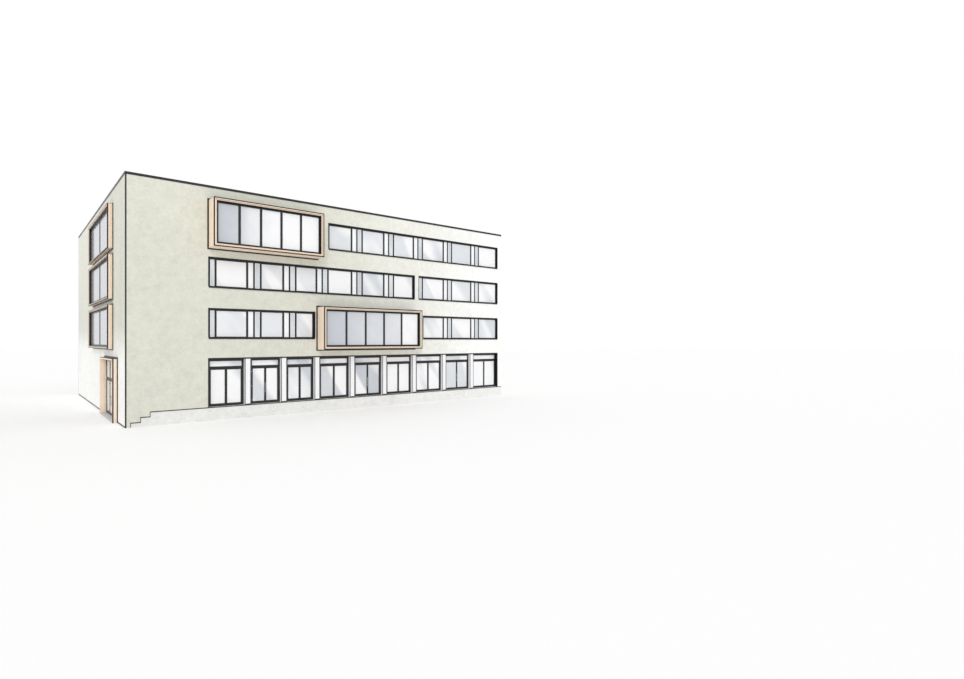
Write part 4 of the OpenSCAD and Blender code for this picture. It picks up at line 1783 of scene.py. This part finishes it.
@dataclass
class YardTrim(Glazed):
    """Beads, jamb sheets, post covers and threshold plates of the yard front's glazing."""

    doors: tuple[int, ...] = (1, 4, 7)
    reveal: float = 0.26
    head: float = 3.17
    transom: float = 2.6
    post: float = 0.42
    post_inset: float = 0.02
    rebate: float = 0.05
    cover_out: float = 0.012
    cover_edge: float = 0.004
    channel_in: float = 0.004
    channel_back: float = 0.045
    foot_h: float = 0.06
    foot_out: float = 0.008
    foot_gap: float = 0.003
    sheet: float = 0.003
    slack: float = 0.001

    def unit(self, number: int) -> tuple[float, float]:
        """Gives a unit's width between two posts; the first and the last go up to the jambs.

        Args:
            number: the unit's number, from 0 at the gable end.

        Returns:
            Where it starts and ends.
        """
        start = self.wing.bay(number) + (0.0 if number == 0 else self.post / 2)
        end = self.wing.bay(number + 1) - (0.0 if number == self.wing.bays - 1 else self.post / 2)
        return start, end

    @property
    def leaf_foot(self) -> float:
        """The height of a leaf's foot."""
        return self.wing.yard + self.wing.threshold + self.wing.meet_gap

    @property
    def leaf_height(self) -> float:
        """A leaf's height."""
        return self.wing.yard + self.transom - self.wing.frame / 2 - self.wing.meet_gap - self.leaf_foot

    def leaf(self, number: int) -> tuple[float, float]:
        """Gives a unit's leaf.

        Args:
            number: the unit's number.

        Returns:
            Where the leaf starts, and its width.
        """
        start, end = self.unit(number)
        edge = start + self.wing.frame + self.wing.hinge_gap
        return edge, (start + end) / 2 - self.wing.meet_gap / 2 - edge

    def beads(self) -> None:
        """Puts a bead round each fixed light."""
        w = self.wing
        low = self.leaf_foot + w.kick
        tall = self.leaf_height - w.kick - w.stile
        over = w.yard + self.transom + w.frame / 2
        parts: Parts = []
        for number in range(w.bays):
            start, end = self.unit(number)
            edge, width = self.leaf(number)
            light = width - 2 * w.stile
            xs = [end - w.frame - w.hinge_gap - w.stile - light]
            if number not in self.doors:
                xs.append(edge + w.stile)
            bead = self.glazing_bead(light, tall)
            parts += Bench.spread(bead, [w.place(Side.FRONT, x, self.reveal, low) for x in xs])
            bead = self.glazing_bead(end - start - 2 * w.frame, w.yard + self.head - w.frame - over)
            parts += Bench.spread(bead, [w.place(Side.FRONT, start + w.frame, self.reveal, over)])
        Bench.fitted(parts, "yard_beads", self.finishes.frame, Slot.FRAME)

    def jamb_sheets(self) -> None:
        """Lines the two outer jambs of the glazing with dark sheet."""
        w, slack = self.wing, self.slack
        high = w.yard + self.head - slack
        parts = [
            Bench.bar((x, 0.0, w.yard + slack), (x + self.sheet, self.reveal, high), slack)
            for x in (w.bay(0), w.bay(w.bays) - self.sheet)
        ]
        copies = Bench.spread(Bench.joined(parts, "jambs"), [w.place(Side.FRONT)])
        Bench.fitted(copies, "yard_jamb_sheets", self.finishes.frame, Slot.FRAME)

    def post_covers(self) -> None:
        """Clips a smooth cover on each post between two dark channels, which also paint the rebates' shade, and pale
        sheet on its flanks.
        """
        w, f, slack, half = self.wing, self.finishes, self.slack, self.post / 2
        foot, low = w.yard + 2 * slack, w.yard + self.foot_h
        high = w.yard + self.head - 2 * slack
        flat, front = half - self.rebate - 2 * slack, self.post_inset + self.channel_in
        covers = [Bench.bar((-flat, self.cover_out, low), (flat, self.post_inset, high), self.cover_edge)]
        channels = []
        for side in (-1, 1):
            x0, x1 = sorted((side * (half - self.rebate + slack), side * half))
            # The dark channel fills the rebate, and also paints its shade
            channels.append(Bench.bar((x0, front, foot), (x1, self.channel_back, high), 2 * slack))
            x0, x1 = sorted((side * half, side * (half + self.sheet)))
            covers.append(Bench.bar((x0, front, foot), (x1, self.reveal, high), slack))
        gap = self.foot_gap
        shoe = Bench.bar((-flat, self.foot_out, w.yard + gap), (flat, self.post_inset, low - gap), gap)
        places = [w.place(Side.FRONT, w.bay(number)) for number in range(1, w.bays)]
        for parts, name, material, slot in (
            (covers, "post_covers", f.post, Slot.POST),
            (channels, "post_channels", f.frame, Slot.FRAME),
            ([shoe], "post_feet", f.frame, Slot.FRAME),
        ):
            Bench.fitted(Bench.spread(Bench.joined(parts, name + "_one"), places), name, material, slot)

    def thresholds(self) -> None:
        """Lays a ribbed plate on each door's threshold."""
        w = self.wing
        parts: Parts = []
        for number in self.doors:
            start, end = self.unit(number)
            start, end = start + w.frame, (start + end) / 2 + w.meet_gap / 2
            plate = ThresholdPlate().build(end - start, w.frame_depth)
            parts += Bench.spread(plate, [w.place(Side.FRONT, start, self.reveal, w.yard + w.threshold)])
        Bench.fitted(parts, "threshold_plates", self.finishes.steel, Slot.METAL)

    def build(self) -> None:
        """Builds all of it, and the fittings of the three leaves."""
        self.beads()
        self.jamb_sheets()
        self.post_covers()
        self.thresholds()
        for letter, number in zip("abc", self.doors):
            edge, width = self.leaf(number)
            place = self.wing.place(Side.FRONT, edge, self.reveal, self.leaf_foot)
            LeafFittings(self.finishes, self.wing, f"yard_door_{letter}", place, width, self.leaf_height).build()


@dataclass
class PlasterTrim:
    """Metal beads that end the plaster at its foot and guard its corners."""

    finishes: Finishes
    wing: Wing
    foot: Section = (
        (-SEAT, -0.05), (-SEAT, 0.0), (-0.004, 0.0), (-0.016, -0.02),
        (-0.016, -0.055), (-0.012, -0.055), (-0.008, -0.05),
    )
    stop_w: float = 0.03
    stop_out: float = 0.016
    stop_gap: float = 0.004
    stop_edge: float = 0.002
    ground: Section = ((-SEAT, 0.0), (-SEAT, 0.09), (-0.004, 0.09), (-0.014, 0.07), (-0.014, 0.0))
    portal_clear: float = 0.1
    corner_leg: float = 0.075
    corner_t: float = 0.004
    corner_edge: float = 0.001
    gap: float = 0.002

    def base_bead(self) -> None:
        """Runs a bead along the foot of the plaster on the yard front, down its three rises at the corner."""
        w = self.wing
        ends = (*w.foot_edges[1:], w.east)
        stop_low, stop_high = (-self.stop_w, -self.stop_out, -w.foot_rise), (0.0, -SEAT, -self.stop_gap)
        parts: Parts = []
        for number, (start, end) in enumerate(zip(w.foot_edges, ends), 1):
            place = w.place(Side.FRONT, start, z=number * w.foot_rise)
            parts += Bench.spread(Bench.profile(self.foot, 0.0, end - start), [place])
            parts += Bench.spread(Bench.bar(stop_low, stop_high, self.stop_edge), [place])
        Bench.fitted(parts, "base_bead", self.finishes.coping, Slot.COPING)

    def ground_beads(self) -> None:
        """Runs a taller bead at the low ground, on the gable beside the portal and on the back."""
        w, clear = self.wing, self.corner_leg + self.gap
        parts: Parts = []
        for side, start, end in (
            (Side.GABLE, w.south + clear, w.portal_start - self.portal_clear),
            (Side.GABLE, w.portal_start + w.portal_w + self.portal_clear, w.north - clear),
            (Side.BACK, w.west + clear, w.east),
        ):
            parts += Bench.spread(Bench.profile(self.ground, start, end - start), [w.place(side)])
        Bench.fitted(parts, "ground_beads", self.finishes.coping, Slot.COPING)

    def corner_beads(self) -> None:
        """Guards the plaster's outer corners with slim angles, from the ground to the coping."""
        w, leg, t = self.wing, self.corner_leg, self.corner_t
        top = w.top - w.coping_drop - self.gap
        legs = [
            Bench.bar((-t, -t, 0.0), (leg, 0.0, top), self.corner_edge),
            Bench.bar((-t, 0.0, 0.0), (0.0, leg, top), self.corner_edge),
        ]
        corners = [
            Matrix.Translation((w.west, w.south, 0)),
            Matrix.Translation((w.west, w.north, 0)) @ Matrix.Diagonal((1, -1, 1, 1)),
        ]
        copies = Bench.spread(Bench.joined(legs, "angle"), corners)
        Bench.fitted(copies, "corner_beads", self.finishes.coping, Slot.COPING)

    def build(self) -> None:
        """Builds all of it."""
        self.base_bead()
        self.ground_beads()
        self.corner_beads()


@dataclass
class CopingJoints:
    """Joint covers over the coping's lengths."""

    finishes: Finishes
    wing: Wing
    pitch: float = 3.0
    wide: float = 0.08
    lift: float = 0.0025
    out: float = 0.025
    rise: float = 0.055
    fall: float = 0.025
    hook: float = 0.012
    inner_hook: float = 0.02
    sheet_edge: float = 0.0008

    def along(self, start: float, end: float) -> list[float]:
        """Divides a side into lengths of about the pitch.

        Args:
            start: where the side starts.
            end: where it ends.

        Returns:
            The middle of each length.
        """
        count = round((end - start) / self.pitch)
        step = (end - start) / count
        return [start + step * (number + 0.5) for number in range(count)]

    def build(self) -> None:
        """Folds one cover over the coping's section, and sets the copies along three sides."""
        w, lift = self.wing, self.lift
        wide = w.wall + 2 * self.out
        outer, inner = -self.out, -self.out + wide
        top, low = w.top + self.rise, w.top - w.coping_drop
        ridge = outer + lift / (self.fall / wide) * 0.9
        section = (
            (outer - lift, low - lift), (outer - lift, top - 0.001), (ridge, top - 0.001),
            (inner + lift, top - self.fall + lift), (inner + lift, w.top - lift),
            (inner - self.inner_hook, w.top - lift), (inner, w.top), (inner, top - self.fall),
            (outer, top - 0.002), (outer, low), (outer + self.hook, low), (outer + self.hook, low - lift),
        )
        cover = Bench.profile(section, -self.wide / 2, self.wide)
        Bench.chamfer(cover, self.sheet_edge)
        places = [w.place(side, x) for side in (Side.FRONT, Side.BACK) for x in self.along(w.west, w.east)]
        places += [w.place(Side.GABLE, y) for y in self.along(w.south, w.north)]
        Bench.fitted(Bench.spread(cover, places), "coping_joints", self.finishes.coping, Slot.COPING)


@dataclass
class LeafFittings:
    """Beads, kick-plates, handle sleeve, lock and hinge caps of one door leaf, drawn from its hinge corner."""

    finishes: Finishes
    wing: Wing
    body: str
    place: Matrix
    width: float
    height: float
    thick: float = 0.06
    bead: float = 0.016
    bead_back: float = 0.004
    bead_edge: float = 0.003
    plate_t: float = 0.0015
    plate_start: float = 0.03
    plate_gap: float = 0.012
    plate_edge: float = 0.0006
    pull_len: float = 0.7
    pull_at: float = 1.05
    pull_r: float = 0.015
    pull_out: float = 0.065
    sleeve: float = 0.0012
    sleeve_end: float = 0.004
    standoff_r: float = 0.012
    standoff_gap: float = 0.01
    rose: tuple[float, float, float] = (-0.006, 0.0058, 0.02)
    lock_under: float = 0.13
    lock: tuple[float, float, float] = (-0.007, 0.0068, 0.021)
    key: tuple[float, float, float] = (-0.011, 0.005, 0.0085)
    hinge_shares: tuple[float, float, float] = (0.1, 0.5, 0.9)
    hinge_out: float = 0.018
    hinge_r: float = 0.011
    cap_t: float = 0.005
    cap_share: float = 0.95
    knuckle: float = 0.06
    knuckle_gap: float = 0.006

    def beads(self) -> None:
        """Puts a bead round the pane and a plate on the bottom rail, outside and inside."""
        w = self.wing
        back = (self.thick - w.glass) / 2
        wide, tall = self.width - 2 * w.stile, self.height - w.kick - w.stile
        ring = Bench.ring(wide, tall, self.bead, back - self.bead_back, self.bead_edge)
        places = [Matrix.Translation((w.stile, y, w.kick)) for y in (self.bead_back, self.thick - back)]
        parts = Bench.spread(ring, [self.place @ move for move in places])
        gap, t = self.plate_gap, self.plate_t
        plates = [
            Bench.bar((self.plate_start, y, gap), (self.width - gap, y + t, w.kick - gap), self.plate_edge)
            for y in (-t, self.thick)
        ]
        parts += Bench.spread(Bench.joined(plates, "plates"), [self.place])
        Bench.fitted(parts, f"{self.body}_beads", self.finishes.frame, Slot.FRAME, self.body)

    def disc(self, z: float, sizes: tuple[float, float, float]) -> bpy.types.Object:
        """Makes a round fitting on the lock stile.

        Args:
            z: its height.
            sizes: where its front is on Y, its thickness and its radius.

        Returns:
            The fitting.
        """
        front, thick, radius = sizes
        return Bench.tube((self.width - self.wing.stile / 2, front, z), thick, radius, lying=True)

    def steelwork(self) -> None:
        """Sleeves the handle and its standoffs in steel, and adds the lock and hinge caps."""
        x = self.width - self.wing.stile / 2
        low = self.pull_at - self.pull_len / 2
        sleeve_len = self.pull_len + 2 * self.sleeve_end
        parts = [Bench.tube((x, -self.pull_out, low - self.sleeve_end), sleeve_len, self.pull_r + self.sleeve)]
        standoff = (self.standoff_gap - self.pull_out, self.pull_out - self.standoff_gap, self.standoff_r)
        for z in (self.pull_at - self.pull_len / 3, self.pull_at + self.pull_len / 3):
            parts += [self.disc(z, standoff), self.disc(z, self.rose)]
        parts += [self.disc(low - self.lock_under, self.lock), self.disc(low - self.lock_under, self.key)]
        for share in self.hinge_shares:
            top = self.height * share + self.knuckle_gap / 2 + self.knuckle
            parts.append(Bench.tube((0.0, -self.hinge_out, top), self.cap_t, self.hinge_r * self.cap_share))
        copies = Bench.spread(Bench.joined(parts, "steel"), [self.place])
        Bench.fitted(copies, f"{self.body}_steelwork", self.finishes.steel, Slot.METAL, self.body)

    def build(self) -> None:
        """Builds all of it."""
        self.beads()
        self.steelwork()


@dataclass
class Portal(Glazed):
    """Beads, threshold plate and leaf fittings of the gable's doors; its casing is a TimberCasing."""

    face: float = 0.08
    doorway: float = 2.24
    base: float = 0.1
    transom: float = 2.5

    @property
    def doorway_start(self) -> float:
        """Where the doorway starts, on the wing's Y."""
        return self.wing.portal_start + (self.wing.portal_w - self.doorway) / 2

    @property
    def leaf_foot(self) -> float:
        """The height of a leaf's foot."""
        return self.base + self.wing.threshold + self.wing.meet_gap

    @property
    def leaf_top(self) -> float:
        """The height of a leaf's top."""
        return self.base + self.transom - self.wing.frame / 2 - self.wing.meet_gap

    def lights(self) -> list[tuple[float, float, float, float]]:
        """Gives the fixed lights beside and over the doors.

        Returns:
            The start, low, end and high of each, as seen along the wall.
        """
        w = self.wing
        low, under = self.leaf_foot + w.kick, self.leaf_top - w.stile
        over = self.base + self.transom + w.frame / 2
        rim = w.gable_thick + w.frame
        head = w.portal_h - rim
        near, far = w.portal_start + rim, w.portal_start + w.portal_w - rim
        d0, d1 = self.doorway_start, self.doorway_start + self.doorway
        found = [(d0, over, d1, head)]
        for a, b in ((near, d0 - w.frame), (d1 + w.frame, far)):
            found += [(a, low, b, under), (a, over, b, head)]
        return found

    def beads(self) -> None:
        """Puts a bead round each fixed light."""
        parts: Parts = []
        for start, low, end, high in self.lights():
            bead = self.glazing_bead(end - start, high - low)
            parts += Bench.spread(bead, [self.wing.place(Side.GABLE, start, self.face, low)])
        Bench.fitted(parts, "portal_beads", self.finishes.frame, Slot.FRAME)

    def threshold(self) -> None:
        """Lays a ribbed plate on the threshold."""
        w = self.wing
        plate = ThresholdPlate().build(self.doorway, w.frame_depth)
        place = w.place(Side.GABLE, self.doorway_start, self.face, self.base + w.threshold)
        Bench.fitted(Bench.spread(plate, [place]), "portal_threshold_plate", self.finishes.steel, Slot.METAL)

    def build(self) -> None:
        """Builds the beads, the threshold plate and the fittings of both leaves."""
        self.beads()
        self.threshold()
        w, foot = self.wing, self.leaf_foot
        wide, high = (self.doorway - w.meet_gap) / 2 - w.hinge_gap, self.leaf_top - foot
        near = w.place(Side.GABLE, self.doorway_start + w.hinge_gap, self.face, foot)
        far_y = self.doorway_start + self.doorway - w.hinge_gap
        far = Matrix.Translation((w.west + self.face, far_y, foot)) @ Matrix.Rotation(-math.pi / 2, 4, "Z")
        LeafFittings(self.finishes, w, "entrance_near", near, wide, high).build()
        LeafFittings(self.finishes, w, "entrance_far", far, wide, high).build()


@dataclass
class Shell:
    """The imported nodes, which get their finishes here."""

    finishes: Finishes
    plaster: tuple[str, ...] = (
        "front_wall_ground", "front_wall_first", "front_wall_second", "front_wall_third_near",
        "front_wall_third_far", "gable_wall_ground", "gable_wall_upper", "back_wall_ground", "back_wall_upper",
        "party_wall",
    )
    concrete: tuple[str, ...] = ("base_slab", "raised_floor", "upper_floors", "roof_slab")
    frames: tuple[str, ...] = (
        "ribbon_frames", "box_frames", "gable_box_frames", "yard_window_frames", "yard_door_frames",
        "portal_frame", "entrance_leaf_near", "entrance_leaf_far", "yard_leaf_a", "yard_leaf_b", "yard_leaf_c",
    )
    yard_glass: tuple[str, ...] = (
        "yard_window_glass", "yard_door_glass", "portal_glass", "entrance_glass_near", "entrance_glass_far",
        "yard_leaf_glass_a", "yard_leaf_glass_b", "yard_leaf_glass_c",
    )

    def chosen(self) -> dict[str, bpy.types.Material]:
        """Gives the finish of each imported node.

        Returns:
            The finishes by the nodes' names.
        """
        f = self.finishes
        rows = (
            (self.plaster, f.plaster), (self.concrete, f.concrete),
            (self.frames, f.frame), (self.yard_glass, f.yard_glass),
        )
        return {name: material for names, material in rows for name in names} | {
            "roof_gravel": f.gravel,
            "parapet_coping": f.coping,
            "window_sills": f.coping,
            "ribbon_vents": f.vent,
            "ribbon_glass": f.ribbon_glass,
            "box_glass": f.box_glass,
            "yard_posts": f.post,
            "box_first": f.timber[Grain.ALONG_X],
            "box_third": f.timber[Grain.ALONG_X],
            "gable_boxes": f.timber[Grain.ALONG_Y],
            "portal": f.timber[Grain.ALONG_Z],
            "hinge_halves": f.steel,
        }

    def dress(self, nodes: dict[str, bpy.types.Object]) -> None:
        """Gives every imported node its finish.

        Args:
            nodes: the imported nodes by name.
        """
        chosen = self.chosen()
        for name, material in chosen.items():
            slots = nodes[name].data.materials
            if not slots:
                slots.append(material)
            for index in range(len(slots)):
                slots[index] = material
        log.info("finishes on %d packed nodes", len(chosen))


@dataclass
class Studio:
    """Floor, light and camera."""

    finishes: Finishes
    eye: Point = (-21.0, -53.6, 5.29)
    heading: float = math.radians(49.3)
    focal_px: float = 554.0
    horizon_row: float = 341.0
    sensor: float = 36.0
    sees: float = 1000.0
    floor_r: float = 400.0
    sky: float = 0.85
    sun: float = 0.75
    sun_spread: float = math.radians(25)
    sun_way: Point = (0.42, 0.72, -0.62)

    def floor(self) -> None:
        """Lays the pale floor."""
        Bench.clear()
        bpy.ops.mesh.primitive_circle_add(vertices=96, radius=self.floor_r, fill_type="NGON", location=(0, 0, 0))
        ground = bpy.context.active_object
        ground.name = "studio_floor"
        ground.data.materials.append(self.finishes.floor)

    def light(self) -> None:
        """Sets a plain white sky, which is shown at full strength, and one broad, soft sun from the front."""
        world = bpy.data.worlds.new("plain_sky")
        bpy.context.scene.world = world
        world.use_nodes = True
        board = NodeBoard(world.node_tree)
        path = board.node("ShaderNodeLightPath").outputs
        seen = board.maths("MAXIMUM", path["Is Camera Ray"], path["Is Glossy Ray"])
        shown = board.maths("MAXIMUM", seen, path["Is Transmission Ray"])
        lit = board.node("ShaderNodeBackground", inputs={"Color": WHITE, "Strength": self.sky})
        plain = board.node("ShaderNodeBackground", inputs={"Color": WHITE})
        sky = board.node("ShaderNodeMixShader", inputs={0: shown, 1: lit.outputs[0], 2: plain.outputs[0]})
        board.node("ShaderNodeOutputWorld", inputs={"Surface": sky.outputs[0]})
        lamp = bpy.data.lights.new("soft_sun", "SUN")
        lamp.energy = self.sun
        lamp.angle = self.sun_spread
        holder = bpy.data.objects.new("soft_sun", lamp)
        bpy.context.collection.objects.link(holder)
        holder.rotation_euler = Vector(self.sun_way).to_track_quat("-Z", "Y").to_euler()

    def camera(self) -> None:
        """Sets a level camera in front of the gable corner."""
        lens = bpy.data.cameras.new("eye_level")
        lens.sensor_width = self.sensor
        lens.lens = self.focal_px / IMAGE_W * self.sensor
        lens.shift_y = (self.horizon_row - IMAGE_H / 2) / IMAGE_W
        lens.clip_end = self.sees
        camera = bpy.data.objects.new("eye_level", lens)
        bpy.context.collection.objects.link(camera)
        camera.location = self.eye
        camera.rotation_euler = (math.pi / 2, 0.0, self.heading - math.pi / 2)
        bpy.context.scene.camera = camera

    def set_up(self) -> None:
        """Sets up the whole studio."""
        self.floor()
        self.light()
        self.camera()
        bpy.context.scene.view_settings.view_transform = "Standard"


def main() -> None:
    """Builds the looks in order."""
    logging.basicConfig(level=logging.INFO, format="%(name)s: %(message)s")
    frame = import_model()
    wing = Wing()
    finishes = Finishes(wing)
    Studio(finishes).set_up()
    Shell(finishes).dress(frame["nodes"])
    RibbonTrim(finishes, wing).build()
    for seed, casing in enumerate(casings(wing), 1):
        TimberCasing(finishes, wing, casing, seed).build()
    BoxBeads(finishes, wing).build()
    YardTrim(finishes, wing).build()
    Portal(finishes, wing).build()
    PlasterTrim(finishes, wing).build()
    CopingJoints(finishes, wing).build()


if __name__ == "__main__":
    main()
